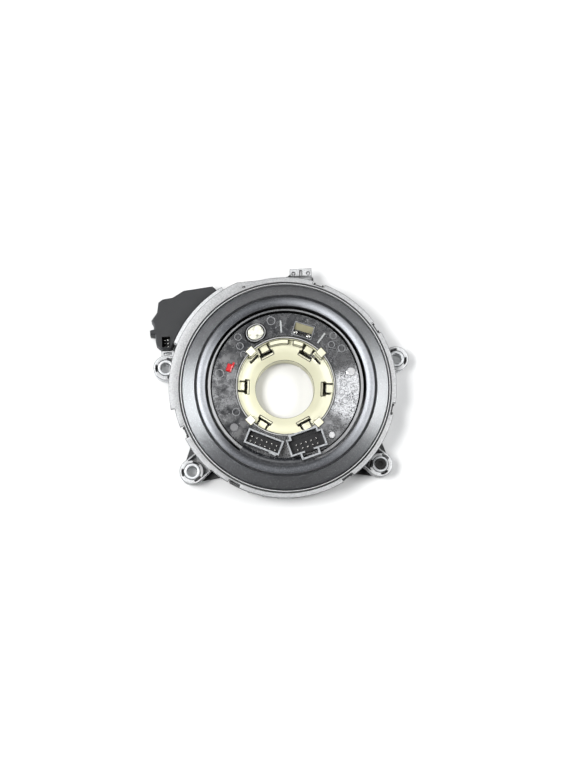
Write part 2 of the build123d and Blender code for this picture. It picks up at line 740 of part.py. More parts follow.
    # openings below the sockets, a recess for the flag, rivet holes, and a boss between the sockets
    for angle, length, inner_face, outer_face in socket_sizes:
        with BuildSketch(seat((inner_face + outer_face) / 2, angle, face_top)):
            Rectangle(outer_face - inner_face - 2 * socket_ledge, length - 2 * socket_ledge)
        extrude(amount=-cover_shell, mode=Mode.SUBTRACT)
    with BuildSketch(seat(flag_radius, flag_angle, face_top)):
        Rectangle(flag_width + 2 * seat_gap, flag_length + 2 * seat_gap)
    extrude(amount=-flag_recess, mode=Mode.SUBTRACT)
    with BuildSketch(Plane.XY.offset(face_top)):
        for rivet_radius, rivet_angle, _ in rivet_places:
            with Locations(on_circle(rivet_radius, rivet_angle)):
                Circle(rivet_shank_radius + pin_gap)
    extrude(amount=-cover_shell, mode=Mode.SUBTRACT)
    with BuildSketch(seat(boss_radius, boss_angle, face_top)):
        Rectangle(boss_size, boss_size)
        Circle(boss_hole_radius, mode=Mode.SUBTRACT)
    extrude(amount=boss_height)
finish(rotor_cover, "rotor_cover")

# ---- inner hub: ring, funnel and bore as one turned profile, then tongues, tabs, blocks and ribs ----
bore_outer = bore_radius + bore_wall
ring_inner = inner_ring_radius - hub_ring_wall
with BuildPart() as inner_hub:
    with BuildSketch(Plane.XZ):
        with BuildLine():
            Polyline(
                (bore_radius, hub_bottom),
                (bore_radius, bore_top),
                (funnel_step_radius, funnel_step_height),
                (ring_inner, funnel_top_height),
                (ring_inner, hub_ring_top),
                (inner_ring_radius, hub_ring_top),
                (inner_ring_radius, hub_bottom + hub_flange_thickness),
                (hub_flange_radius, hub_bottom + hub_flange_thickness),
                (hub_flange_radius, hub_bottom),
                (ring_inner, hub_bottom),
                (ring_inner, funnel_top_height - funnel_wall),
                (funnel_step_radius + funnel_wall / 2, funnel_step_height - funnel_wall),
                (bore_outer, bore_top - funnel_wall / 2),
                (bore_outer, hub_bottom),
                close=True,
            )
        make_face()
    revolve(axis=Axis.Z)

    # ribs below the funnel, between bore and ring
    with BuildSketch(Plane.XY.offset(hub_bottom)):
        for rib in range(hub_rib_count):
            with Locations(seat((bore_outer + ring_inner) / 2, 360 * (rib + 0.5) / hub_rib_count, 0)):
                Rectangle(ring_inner - bore_outer + bore_wall, hub_rib_thickness)
    extrude(amount=hub_rib_height)

    # raised blocks inside the ring
    with BuildSketch(Plane.XY.offset(funnel_step_height)):
        for span_start, span_end in block_spans:
            sector(block_inner_radius, ring_inner + hub_ring_wall / 2, span_start, span_end)
    extrude(amount=block_top - funnel_step_height)

    # snap tongues: a flat finger between two slots, with a cross slot at its nose
    finger_length = tongue_outer_radius - tongue_inner_radius
    finger_middle = (tongue_outer_radius + tongue_inner_radius) / 2
    for index in range(tongue_count):
        angle = tongue_start_angle + 360 * index / tongue_count
        with BuildSketch(seat(finger_middle, angle, tongue_top)):
            Rectangle(finger_length, tongue_width + 2 * tongue_slot)
        extrude(amount=-tongue_depth, mode=Mode.SUBTRACT)
        with BuildSketch(seat(finger_middle, angle, tongue_top)):
            with Locations((hub_ring_wall / 2, 0)):
                Rectangle(finger_length + hub_ring_wall, tongue_width)
        extrude(amount=-tongue_thickness)
        with BuildSketch(seat(tongue_inner_radius - tongue_bar_width / 2, angle, tongue_top)):
            Rectangle(tongue_bar_width, tongue_bar_length)
        extrude(amount=-tongue_depth, mode=Mode.SUBTRACT)
        nose_inner = tongue_inner_radius - tongue_bar_width - nose_width
        with BuildSketch(seat(nose_inner + nose_width, angle, tongue_top)):
            Rectangle(2 * nose_width, tongue_bar_length)
        extrude(amount=nose_floor - tongue_top, mode=Mode.SUBTRACT)

    # square tabs that hook over the rotor cover's lip, each on a post
    for angle in tab_angles:
        with BuildSketch(seat(ring_inner - tab_inner_reach, angle, tab_seat + seat_gap)):
            tab_length = tab_inner_reach + hub_ring_wall + tab_reach
            Rectangle(tab_length, tab_size, align=(Align.MIN, Align.CENTER))
        extrude(amount=tab_thickness)
        with BuildSketch(seat(ring_inner - tab_inner_reach, angle, funnel_step_height)):
            Rectangle(tab_inner_reach + hub_ring_wall / 2, tab_size, align=(Align.MIN, Align.CENTER))
        extrude(amount=tab_seat + seat_gap - funnel_step_height)

    # narrow slots beside the two upper tabs
    for angle in bar_slot_angles:
        with BuildSketch(seat(bar_slot_radius, angle, tongue_top)):
            Rectangle(bar_slot_width, bar_slot_length)
        extrude(amount=-tongue_depth, mode=Mode.SUBTRACT)
finish(inner_hub, "inner_hub")

# ---- steering wheel sockets and their pins ----
for name, sizes, (columns, rows) in zip(socket_names, socket_sizes, pin_grids):
    angle, length, inner_face, outer_face = sizes
    width = outer_face - inner_face
    centre = (inner_face + outer_face) / 2
    with BuildPart() as socket:
        with BuildSketch(seat(centre, angle, face_top)):
            Rectangle(width, length)
        extrude(amount=socket_height)
        if name == "right":
            # the hood overhangs the inner hub, and the latch frame stands on the outer side
            with BuildSketch(seat(inner_face - hood_reach / 2, angle, hood_bottom)):
                Rectangle(hood_reach, hood_length)
            extrude(amount=socket_top - hood_bottom)
            with BuildSketch(seat(outer_face + latch_width / 2, angle, latch_bottom)):
                with Locations((-seat_gap, 0)):
                    Rectangle(latch_width + 2 * seat_gap, latch_length)
                with Locations((-latch_wall, 0)):
                    Rectangle(latch_width, latch_length - 2 * latch_wall, mode=Mode.SUBTRACT)
            extrude(amount=socket_top - latch_bottom)
            with BuildSketch(seat(outer_face, angle, socket_top)):
                Rectangle(2 * socket_wall, latch_notch)
            extrude(amount=-latch_notch_depth, mode=Mode.SUBTRACT)
            mouth_inner = inner_face - hood_reach + socket_wall
        else:
            # a small key rib on the outer side
            with BuildSketch(seat(outer_face, angle, latch_bottom)):
                with Locations((0, length / 2 - key_inset)):
                    Rectangle(2 * key_depth, key_width)
            extrude(amount=socket_top - latch_bottom)
            mouth_inner = inner_face + socket_wall
        mouth_outer = outer_face - socket_wall
        with BuildSketch(seat((inner_face + mouth_outer + socket_wall) / 2, angle, socket_seat)):
            Rectangle(mouth_outer - inner_face - socket_wall, length - 2 * socket_wall)
        extrude(amount=socket_height - socket_floor, mode=Mode.SUBTRACT)
        with BuildSketch(seat((mouth_inner + centre) / 2, angle, hood_bottom + socket_wall)):
            Rectangle(centre - mouth_inner, hood_length - 2 * socket_wall)
        extrude(amount=socket_top - hood_bottom - socket_wall, mode=Mode.SUBTRACT)
        with BuildSketch(seat(pin_row_radius, angle, face_top)):
            with GridLocations(pin_row_pitch, pin_pitch, rows, columns):
                Rectangle(pin_size + 2 * pin_gap, pin_size + 2 * pin_gap)
        extrude(amount=socket_floor, mode=Mode.SUBTRACT)
    finish(socket, f"wheel_socket_{name}")
    with BuildPart() as pins:
        with BuildSketch(seat(pin_row_radius, angle, face_top - pin_tail)):
            with GridLocations(pin_row_pitch, pin_pitch, rows, columns):
                Rectangle(pin_size, pin_size)
        extrude(amount=pin_tail + socket_floor + pin_height)
    finish(pins, f"socket_pins_{name}")

# ---- lock button and its spring ----
button_plane = seat(lock_radius, lock_angle, lock_skirt_bottom)
with BuildPart() as lock_button:
    with BuildSketch(button_plane):
        SlotOverall(lock_length, lock_width, rotation=90)
    extrude(amount=lock_shoulder - lock_skirt_bottom)
    with BuildSketch(seat(lock_radius, lock_angle, lock_shoulder)):
        with Locations(*lobe_places):
            Circle(lobe_radius)
        Circle(lobe_radius)
    extrude(amount=lock_top - lobe_chamfer - lock_shoulder)
    for place in (*lobe_places, (0, 0)):
        with BuildSketch(seat(lock_radius, lock_angle, lock_top - lobe_chamfer)):
            with Locations(place):
                Circle(lobe_radius)
        extrude(amount=lobe_chamfer, taper=45)
    with BuildSketch(button_plane):
        Circle(stem_radius)
    extrude(amount=stem_bottom - lock_skirt_bottom)
finish(lock_button, "lock_button")

spring_height = lock_skirt_bottom - well_floor - 2 * spring_wire_radius - 2 * spring_seat_gap
spring_plane = seat(lock_radius, lock_angle, well_floor + spring_wire_radius + spring_seat_gap)
with BuildPart() as lock_spring:
    with BuildLine(spring_plane):
        coil = Helix(spring_height / spring_turns, spring_height, spring_radius)
    with BuildSketch(Plane(coil @ 0, x_dir=(0, 0, 1), z_dir=coil % 0)):
        RegularPolygon(spring_wire_radius, 6)
    sweep(path=coil, is_frenet=True)
finish(lock_spring, "lock_spring")

# ---- position flag, window tongue, contact posts and rivets ----
with BuildPart() as position_flag:
    with BuildSketch(seat(flag_radius, flag_angle, face_top - flag_recess)):
        Rectangle(flag_width, flag_length)
    extrude(amount=flag_recess + flag_height)
    flag_crown = position_flag.edges().group_by(Axis.Z)[-1]
    chamfer(flag_crown, flag_chamfer)
    with BuildSketch(seat(flag_radius, flag_angle, face_top)):
        with Locations((-flag_width / 2, -flag_length / 2)):
            Rectangle(flag_tab_width, flag_tab_length)
    extrude(amount=flag_height / 2)
finish(position_flag, "position_flag")

with BuildPart() as window_tongue:
    with BuildSketch(upright(window_angle)):
        with BuildLine():
            Polyline(
                (window_outer_radius, face_top - seat_gap),
                (pit_outer_radius, face_top - window_tongue_drop),
                (pit_outer_radius, face_top - window_tongue_drop - window_tongue_thickness),
                (window_outer_radius, face_top - window_tongue_thickness - seat_gap),
                close=True,
            )
        make_face()
    extrude(amount=window_width / 2 - seat_gap, both=True)
finish(window_tongue, "window_tongue")

with BuildPart() as contact_posts:
    with BuildSketch(seat(post_seat_radius, window_angle, pit_floor)):
        with GridLocations(1, post_spacing, 1, 2):
            Circle(post_radius)
    extrude(amount=post_top - pit_floor)
    chamfer(contact_posts.edges().group_by(Axis.Z)[-1], post_chamfer)
finish(contact_posts, "contact_posts")

for name, (rivet_radius, rivet_angle, head_radius) in zip(rivet_names, rivet_places):
    with BuildPart() as rivet:
        with BuildSketch(seat(rivet_radius, rivet_angle, face_top - cover_shell)):
            Circle(rivet_shank_radius)
        extrude(amount=cover_shell)
        with BuildSketch(seat(rivet_radius, rivet_angle, face_top)):
            Circle(head_radius)
        extrude(amount=rivet_head)
        chamfer(rivet.edges().filter_by(GeomType.CIRCLE).sort_by(Axis.Z)[-1], rivet_head / 2)
    finish(rivet, name)

# ---- ribbon cable, its terminals and the glide disc ----
with BuildPart() as glide_disc:
    with BuildSketch(Plane.XY):
        Circle(locating_outer - locating_ring_width - seat_gap)
        Circle(hub_outer_radius + glide_clearance, mode=Mode.SUBTRACT)
    extrude(amount=glide_thickness)
finish(glide_disc, "glide_disc")

with BuildPart() as outer_terminal:
    with BuildSketch(Plane.XY.offset(terminal_bottom)):
        with Locations(seat(terminal_outer_face + terminal_reach / 2, terminal_angle, 0)):
            Rectangle(terminal_reach, terminal_width)
        Circle(housing_outer_radius, mode=Mode.INTERSECT)
    extrude(amount=terminal_top - terminal_bottom)
finish(outer_terminal, "outer_terminal")

with BuildPart() as inner_terminal:
    with BuildSketch(Plane.XY.offset(terminal_bottom)):
        span = (terminal_angle - inner_span, terminal_angle + inner_span)
        sector(hub_outer_radius + seat_gap, terminal_inner_face, *span)
    extrude(amount=terminal_top - terminal_bottom)
finish(inner_terminal, "inner_terminal")

# the ribbon's turns are half circles about two centres a quarter pitch each side of the axis
half_ribbon = ribbon_thickness / 2
ribbon_pitch = (ribbon_end_radius - ribbon_start_radius) / ribbon_turns
with BuildPart() as ribbon_cable:
    with BuildSketch(seat(0, terminal_angle, ribbon_bottom)):
        with BuildLine():
            for side in (-half_ribbon, half_ribbon):
                for half in range(2 * ribbon_turns):
                    centre = (ribbon_pitch / 4 * (-1 if half % 2 == 0 else 1), 0)
                    arc_radius = ribbon_start_radius + ribbon_pitch / 4 + half * ribbon_pitch / 2
                    CenterArc(centre, arc_radius + side, 180 * (half % 2), 180)
            for end_radius in (ribbon_start_radius, ribbon_end_radius):
                Line((end_radius - half_ribbon, 0), (end_radius + half_ribbon, 0))
        make_face()
    extrude(amount=ribbon_top - ribbon_bottom)
finish(ribbon_cable, "ribbon_cable")

# ---- harness module: case with a connector well, board, lid and pins ----
foot_inner = housing_outer_radius + seat_gap
shelf_clear = shelf_radius + slide_gap
with BuildPart() as module_case:
    with BuildSketch(Plane.XY.offset(module_bottom)):
        Polygon(*module_outline, align=None)
        Circle(shelf_clear, mode=Mode.SUBTRACT)
    extrude(amount=module_split - module_bottom)
    with BuildSketch(Plane.XY.offset(module_bottom)):
        sector(foot_inner, shelf_clear + module_wall, module_foot_start, module_foot_end)
    extrude(amount=module_foot_top - module_bottom)
    with BuildSketch(Plane.XY.offset(module_bottom + module_wall)):
        Polygon(*module_outline, align=None)
        Circle(shelf_clear, mode=Mode.SUBTRACT)
        offset(amount=-module_wall)
        with Locations((well_x, well_y)):
            Rectangle(well_width + 2 * well_wall, well_length + 2 * well_wall, mode=Mode.SUBTRACT)
        with Locations((well_x, well_y)):
            Rectangle(nose_length, nose_length, align=(Align.CENTER, Align.MAX), mode=Mode.SUBTRACT)
    extrude(amount=module_split - module_bottom - module_wall, mode=Mode.SUBTRACT)
    with BuildSketch(Plane.XY.offset(module_bottom + module_wall)):
        with Locations(*board_posts):
            Circle(board_post_radius)
    extrude(amount=board_bottom - module_bottom - module_wall)
    with BuildSketch(Plane.XY.offset(well_bottom)):
        with Locations((well_x, well_y)):
            Rectangle(well_width, well_length)
    extrude(amount=module_split - well_bottom, mode=Mode.SUBTRACT)
finish(module_case, "module_case")

with BuildPart() as module_board:
    with BuildSketch(Plane.XY.offset(board_bottom)):
        Polygon(*module_outline, align=None)
        Circle(shelf_clear, mode=Mode.SUBTRACT)
        offset(amount=-module_wall - slide_gap)
        around_well = 2 * (well_wall + slide_gap)
        with Locations((well_x, well_y)):
            Rectangle(well_width + around_well, well_length + around_well, mode=Mode.SUBTRACT)
        with Locations((well_x, well_y + slide_gap)):
            Rectangle(nose_length, nose_length, align=(Align.CENTER, Align.MAX), mode=Mode.SUBTRACT)
    extrude(amount=board_thickness)
finish(module_board, "module_board")

with BuildPart() as module_lid:
    with BuildSketch(Plane.XY.offset(module_split)):
        Polygon(*module_outline, align=None)
        Circle(shelf_clear, mode=Mode.SUBTRACT)
    extrude(amount=module_top - module_split)
    chamfer(module_lid.faces().sort_by(Axis.Z)[-1].edges(), module_chamfer)
    with BuildSketch(Plane.XY.offset(module_split)):
        with Locations((well_x, well_y)):
            Rectangle(well_width, well_length)
    extrude(amount=module_top - module_split, mode=Mode.SUBTRACT)
finish(module_lid, "module_lid")

with BuildPart() as module_pins:
    with BuildSketch(Plane.XY.offset(well_bottom)):
        with Locations((well_x, well_y)):
            with GridLocations(module_pin_pitch, module_pin_pitch, 2, 3):
                Rectangle(module_pin_size, module_pin_size)
    extrude(amount=module_pin_height)
finish(module_pins, "module_pins")
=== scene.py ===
"""Looks of a steering clock spring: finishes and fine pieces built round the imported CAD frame."""

import logging
import math
from dataclasses import dataclass, field
from enum import Enum

import bmesh
import bpy
from mathutils import Matrix, Vector


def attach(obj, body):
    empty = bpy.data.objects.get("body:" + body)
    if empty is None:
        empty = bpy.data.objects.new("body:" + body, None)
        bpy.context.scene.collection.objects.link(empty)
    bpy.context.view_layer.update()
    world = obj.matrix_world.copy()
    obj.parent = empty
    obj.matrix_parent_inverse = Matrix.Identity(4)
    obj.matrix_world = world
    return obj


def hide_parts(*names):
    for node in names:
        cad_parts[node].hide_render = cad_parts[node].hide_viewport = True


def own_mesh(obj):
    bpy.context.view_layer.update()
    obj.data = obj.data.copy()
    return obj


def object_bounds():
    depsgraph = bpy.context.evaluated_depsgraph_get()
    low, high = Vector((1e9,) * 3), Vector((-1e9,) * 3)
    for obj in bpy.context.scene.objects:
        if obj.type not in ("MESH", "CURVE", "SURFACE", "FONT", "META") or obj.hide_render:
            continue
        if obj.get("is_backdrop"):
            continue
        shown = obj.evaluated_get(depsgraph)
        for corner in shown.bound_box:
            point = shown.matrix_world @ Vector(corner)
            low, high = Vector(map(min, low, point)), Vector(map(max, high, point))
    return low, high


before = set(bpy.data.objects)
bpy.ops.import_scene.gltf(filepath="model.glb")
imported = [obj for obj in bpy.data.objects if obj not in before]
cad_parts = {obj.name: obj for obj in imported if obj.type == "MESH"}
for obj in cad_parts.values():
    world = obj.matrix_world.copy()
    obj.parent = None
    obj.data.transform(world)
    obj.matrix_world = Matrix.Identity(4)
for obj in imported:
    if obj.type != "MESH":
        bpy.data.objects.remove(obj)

log = logging.getLogger("clock_spring")

MM = 0.001
EDGE_MARK = "edge"  # 1 on the rounded edges of an eased piece
MERGE_REACH = 1e-6  # metres within which the loose corners of a CAD mesh are one
FLAT_ANGLE = 0.01  # radians up to which two triangles lie in one plane
LINE_CORE = 0.4  # share of a scratch's width over which it is full
Colour = tuple[float, float, float]
Point = tuple[float, float, float]
Span = tuple[float, float]  # lowest and highest value


class Body(Enum):
    """The bodies that the new pieces ride on."""

    STATOR = "stator"
    ROTOR = "rotor"


# ---------------------------------------------------------------- node trees


@dataclass(frozen=True)
class Pattern:
    """A cloud noise: the size of its features in metres, its detail and its roughness."""

    size: float
    detail: float = 2.0
    rough: float = 0.5


@dataclass(frozen=True)
class Sector:
    """A part of the circle about the rotation axis, in degrees, with soft ends."""

    middle: float
    half: float
    soft: float


class Value:
    """A number socket of a shader tree that takes part in Python arithmetic."""

    def __init__(self, graph: "Graph", socket: bpy.types.NodeSocket) -> None:
        """Wrap a socket.

        Args:
            graph: The tree that the socket belongs to.
            socket: The output socket.
        """
        self.graph = graph
        self.socket = socket

    def maths(self, operation: str, *others: "Value | float", swapped: bool = False) -> "Value":
        """Add a Math node.

        Args:
            operation: The node's operation.
            others: The other operands.
            swapped: Whether this value is the second operand.

        Returns:
            The node's result.
        """
        operands = [self, *others]
        if swapped:
            operands.reverse()
        node = self.graph.add("ShaderNodeMath", {"operation": operation}, dict(enumerate(operands)))
        return Value(self.graph, node.outputs[0])

    def __add__(self, other: "Value | float") -> "Value":
        """Add."""
        return self.maths("ADD", other)

    def __radd__(self, other: "Value | float") -> "Value":
        """Add, reflected."""
        return self.maths("ADD", other, swapped=True)

    def __sub__(self, other: "Value | float") -> "Value":
        """Subtract."""
        return self.maths("SUBTRACT", other)

    def __rsub__(self, other: "Value | float") -> "Value":
        """Subtract, reflected."""
        return self.maths("SUBTRACT", other, swapped=True)

    def __mul__(self, other: "Value | float") -> "Value":
        """Multiply."""
        return self.maths("MULTIPLY", other)

    def __rmul__(self, other: "Value | float") -> "Value":
        """Multiply, reflected."""
        return self.maths("MULTIPLY", other, swapped=True)

    def __pow__(self, other: "Value | float") -> "Value":
        """Raise to a power."""
        return self.maths("POWER", other)

    def step(self, low: float, high: float) -> "Value":
        """Map smoothly from 0 at low to 1 at high.

        Args:
            low: The value up to which the result is 0.
            high: The value from which on it is 1.

        Returns:
            The mapped value.
        """
        settings = {"interpolation_type": "SMOOTHSTEP"}
        node = self.graph.add("ShaderNodeMapRange", settings, {0: self, 1: low, 2: high, 3: 0.0, 4: 1.0})
        return Value(self.graph, node.outputs[0])

    def above(self, level: float, soft: float = 0.1) -> "Value":
        """Give 1 above a level, with a soft edge of the given width over it."""
        return self.step(level, level + soft)

    def between(self, low: float, high: float, soft: float) -> "Value":
        """Give 1 between two limits, with soft edges of the given half width."""
        return self.step(low - soft, low + soft) * (1 - self.step(high - soft, high + soft))

    def clamped(self) -> "Value":
        """Limit to 0 to 1."""
        node = self.graph.add("ShaderNodeClamp", {}, {0: self})
        return Value(self.graph, node.outputs[0])


class Graph:
    """A node tree to which nodes are added in one way."""

    def __init__(self, tree: bpy.types.NodeTree) -> None:
        """Keep the tree."""
        self.tree = tree

    def add(
        self,
        kind: str,
        settings: dict[str, object] | None = None,
        inputs: dict[str | int, object] | None = None,
    ) -> bpy.types.Node:
        """Add a node.

        Args:
            kind: The node's type.
            settings: Its properties, which are set first.
            inputs: Values or links for its sockets, by name or number.

        Returns:
            The new node.
        """
        node = self.tree.nodes.new(kind)
        for key, value in (settings or {}).items():
            setattr(node, key, value)
        for key, value in (inputs or {}).items():
            self.feed(node.inputs[key], value)
        return node

    def feed(self, socket: bpy.types.NodeSocket, value: object) -> None:
        """Link a socket, or set its value.

        Args:
            socket: The input socket.
            value: What it takes: a value or socket of the tree, a colour, a vector or a number.
        """
        if isinstance(value, Value):
            value = value.socket
        if isinstance(value, bpy.types.NodeSocket):
            self.tree.links.new(value, socket)
        elif isinstance(value, tuple) and len(value) == 3 and socket.type == "RGBA":
            socket.default_value = (*value, 1.0)
        else:
            socket.default_value = value


class Shader(Graph):
    """The tree of one material, with the patterns that finishes share."""

    def __init__(self, material: bpy.types.Material) -> None:
        """Empty the material's tree and add its shader.

        Args:
            material: The material.
        """
        material.use_nodes = True
        super().__init__(material.node_tree)
        self.tree.nodes.clear()
        self.principled = self.add("ShaderNodeBsdfPrincipled")
        output = self.add("ShaderNodeOutputMaterial")
        self.tree.links.new(self.principled.outputs[0], output.inputs[0])
        self.place = self.add("ShaderNodeTexCoord").outputs["Object"]

    def noise(self, pattern: Pattern) -> Value:
        """Give cloud noise round 0.5.

        Args:
            pattern: Its sizes.

        Returns:
            The noise.
        """
        sockets = {
            "Vector": self.place,
            "Scale": 1 / pattern.size,
            "Detail": pattern.detail,
            "Roughness": pattern.rough,
        }
        return Value(self, self.add("ShaderNodeTexNoise", {"noise_dimensions": "3D"}, sockets).outputs[0])

    def cells(self, size: float) -> Value:
        """Give the distance to the nearest of scattered points, in units of the given size."""
        sockets = {"Vector": self.place, "Scale": 1 / size}
        return Value(self, self.add("ShaderNodeTexVoronoi", {"feature": "F1"}, sockets).outputs[0])

    def axis(self, name: str) -> Value:
        """Give one coordinate of the place, in millimetres."""
        split = self.add("ShaderNodeSeparateXYZ", {}, {0: self.place})
        return Value(self, split.outputs[name]) * (1 / MM)

    def radius(self) -> Value:
        """Give the distance from the rotation axis, in millimetres."""
        x, y = self.axis("X"), self.axis("Y")
        return (x * x + y * y) ** 0.5

    def edge(self) -> Value:
        """Give 1 on the rounded edges of an eased piece."""
        settings = {"attribute_type": "GEOMETRY", "attribute_name": EDGE_MARK}
        return Value(self, self.add("ShaderNodeAttribute", settings).outputs["Fac"])

    def turned(self, angle: float) -> tuple[Value, Value]:
        """Measure the place from a direction about the rotation axis.

        Args:
            angle: The direction, in degrees.

        Returns:
            The place along and across the direction, in millimetres.
        """
        x, y = self.axis("X"), self.axis("Y")
        turn = math.radians(angle)
        along = x * math.cos(turn) + y * math.sin(turn)
        across = y * math.cos(turn) - x * math.sin(turn)
        return along, across

    def sector(self, sector: Sector) -> Value:
        """Mark a part of the circle.

        Args:
            sector: The part.

        Returns:
            1 inside it.
        """
        along, across = self.turned(sector.middle)
        away = across.maths("ARCTAN2", along).maths("ABSOLUTE") * (180 / math.pi)
        return 1 - away.step(sector.half - sector.soft, sector.half + sector.soft)

    def sectors(self, first: Sector, *others: Sector) -> Value:
        """Give 1 inside any of several parts of the circle.

        Args:
            first: One part.
            others: The other parts.

        Returns:
            1 inside them.
        """
        marked = self.sector(first)
        for other in others:
            marked = marked + self.sector(other)
        return marked.clamped()

    def scratches(self, pattern: Pattern, width: float) -> Value:
        """Mark the thin wandering contours of a noise.

        Args:
            pattern: The noise.
            width: How far from its middle value it still counts.

        Returns:
            1 on the contours.
        """
        level = (self.noise(pattern) - 0.5).maths("ABSOLUTE")
        return 1 - level.step(width * LINE_CORE, width)

    def grey(self, shade: Value) -> bpy.types.NodeSocket:
        """Turn a number into a grey."""
        return self.add("ShaderNodeCombineColor", {"mode": "RGB"}, dict.fromkeys(range(3), shade)).outputs[0]

    def mix(
        self, factor: Value | float, first: object, second: object, blend: str = "MIX"
    ) -> bpy.types.NodeSocket:
        """Mix two colours.

        Args:
            factor: The share of the second colour.
            first: A colour of the tree or a plain one.
            second: Another colour.
            blend: How they are mixed.

        Returns:
            The mixed colour.
        """
        settings = {"data_type": "RGBA", "blend_type": blend, "clamp_factor": True}
        return self.add("ShaderNodeMix", settings, {0: factor, 6: first, 7: second}).outputs[2]

    def shaded(self, colour: object, shade: Value) -> bpy.types.NodeSocket:
        """Multiply a colour by a number."""
        return self.mix(1.0, colour, self.grey(shade), "MULTIPLY")

    def bump(
        self, height: Value, depth: float, below: bpy.types.NodeSocket | None = None
    ) -> bpy.types.NodeSocket:
        """Turn a height into a normal.

        Args:
            height: The height, from 0 to 1.
            depth: What a height of 1 stands for, in metres.
            below: The normal that it adds to, if any.

        Returns:
            The normal.
        """
        sockets: dict[str | int, object] = {"Height": height, "Distance": depth, "Strength": 1.0}
        if below is not None:
            sockets["Normal"] = below
        return self.add("ShaderNodeBump", {}, sockets).outputs[0]

    def finish(self, **sockets: object) -> None:
        """Feed the shader's sockets; an underscore stands for a space."""
        for name, value in sockets.items():
            self.feed(self.principled.inputs[name.replace("_", " ")], value)


# ---------------------------------------------------------------- finishes
# Radii, heights and distances of painted lines are in millimetres, angles in degrees.


@dataclass(frozen=True)
class Finish:
    """A moulded, drawn or plated surface with a little life in it."""

    name: str
    colour: Colour
    roughness: float = 0.45
    metallic: float = 0.0
    cloud: float = 0.12  # share by which the colour varies over the cloud's size
    cloud_size: float = 9 * MM
    grain_depth: float = 0.015 * MM
    grain_size: float = 0.5 * MM
    sheen_change: float = 0.08  # how far the roughness varies
    index: float = 1.5
    # painted shade on the rounded edges of eased pieces
    edge_shade: float = 1.0  # what an eased piece's edges multiply the colour by
    slot: str = ""  # the slot's name, where it differs from the finish's name

    def material(self) -> bpy.types.Material:
        """Make the finish's material, or find it again.

        Returns:
            The material.
        """
        name = f"{self.name}_finish"
        made = bpy.data.materials.get(name)
        if made is None:
            made = bpy.data.materials.new(name)
            self.paint(Shader(made))
        return made

    def clouded(self, shader: Shader, base: object) -> bpy.types.NodeSocket:
        """Vary a colour by soft clouds and fine grain, and paint shade on the eased edges.

        Args:
            shader: The material's tree.
            base: The colour.

        Returns:
            The varied colour.
        """
        cloud = shader.noise(Pattern(self.cloud_size, detail=4.0, rough=0.6)) - 0.5
        grain = shader.noise(Pattern(self.grain_size, detail=1.0)) - 0.5
        shade = 1 + cloud * (2 * self.cloud) + grain * self.cloud
        # painted shade on the rounded edges
        if self.edge_shade != 1.0:
            shade = shade * (1 + shader.edge() * (self.edge_shade - 1))
        return shader.shaded(base, shade)

    def sheen(self, shader: Shader) -> Value:
        """Give the roughness with its soft variation."""
        change = shader.noise(Pattern(self.cloud_size / 2, detail=3.0)) - 0.5
        return (self.roughness + change * (2 * self.sheen_change)).clamped()

    def grain(self, shader: Shader) -> bpy.types.NodeSocket:
        """Give the normal of the fine grain."""
        fine = shader.noise(Pattern(self.grain_size, detail=3.0, rough=0.65))
        return shader.bump(fine, self.grain_depth)

    def paint(self, shader: Shader) -> None:
        """Build the material's nodes.

        Args:
            shader: The material's tree.
        """
        shader.finish(
            Base_Color=self.clouded(shader, self.colour),
            Roughness=self.sheen(shader),
            Metallic=self.metallic,
            IOR=self.index,
            Normal=self.grain(shader),
        )


@dataclass(frozen=True)
class HousingFinish(Finish):
    """Light grey plastic with a fine sparkle, painted shade in the groove inside the flange, a painted
    highlight on the lip, lighter ears and painted light on two sides.
    """

    sparkle: Pattern = Pattern(0.9 * MM, 2.0, 0.75)
    sparkle_shade: float = 1.36  # how far the sparkle varies the colour
    sparkle_gloss: float = 0.2
    # painted shade: the groove inside the flange is painted dark
    groove: Span = (69.6, 70.3)
    groove_bottom: float = 19.3
    groove_shade: float = 0.35
    groove_fill: float = 0.65  # how far the groove's painted shade fades on the sides painted as lit
    # painted highlight: the lip's top is painted lighter
    lip: Span = (68.5, 69.65)
    lip_bottom: float = 21.5
    lip_highlight: float = 1.25
    ear_edge: Span = (76.5, 77.5)
    ear_light: float = 1.35
    # painted light and shade: the flange is painted lighter on these two sides and darker elsewhere
    painted_lit_sides: tuple[Sector, ...] = (Sector(10.0, 50.0, 15.0), Sector(175.0, 48.0, 15.0))
    painted_shade_level: float = 0.91
    painted_light_gain: float = 0.15

    def paint(self, shader: Shader) -> None:
        """Build the material's nodes.

        Args:
            shader: The material's tree.
        """
        radius, height = shader.radius(), shader.axis("Z")
        painted_lit = shader.sectors(*self.painted_lit_sides)
        # painted shade in the groove, weaker on the sides painted as lit
        in_groove = radius.between(*self.groove, soft=0.06) * height.above(self.groove_bottom)
        in_groove = in_groove * (1 - painted_lit * self.groove_fill)
        # painted highlight on the lip
        on_lip = radius.between(*self.lip, soft=0.05) * height.above(self.lip_bottom)
        on_ear = radius.step(*self.ear_edge)
        sparkle = shader.noise(self.sparkle) - 0.5
        shade = (1 + sparkle * self.sparkle_shade) * (1 - in_groove * (1 - self.groove_shade))
        shade = shade * (1 + on_lip * (self.lip_highlight - 1)) * (1 + on_ear * (self.ear_light - 1))
        # painted light on the lit sides, painted shade elsewhere
        shade = shade * (self.painted_shade_level + painted_lit * self.painted_light_gain)
        shader.finish(
            Base_Color=shader.shaded(self.clouded(shader, self.colour), shade),
            Roughness=(self.roughness + sparkle * self.sparkle_gloss).clamped(),
            IOR=self.index,
            Normal=self.grain(shader),
        )


@dataclass(frozen=True)
class RotorSurface:
    """What the steps of painting the rotor share."""

    shader: Shader
    radius: Value
    height: Value
    on_face: Value
    on_band: Value
    on_rim: Value
    on_collar: Value
    from_collar: Value  # distance from the middle line of the lock button's collar
    # 1 in the sectors painted as lit
    lit: Value
    flow: Value
    blotch: Value
    patchy: Value


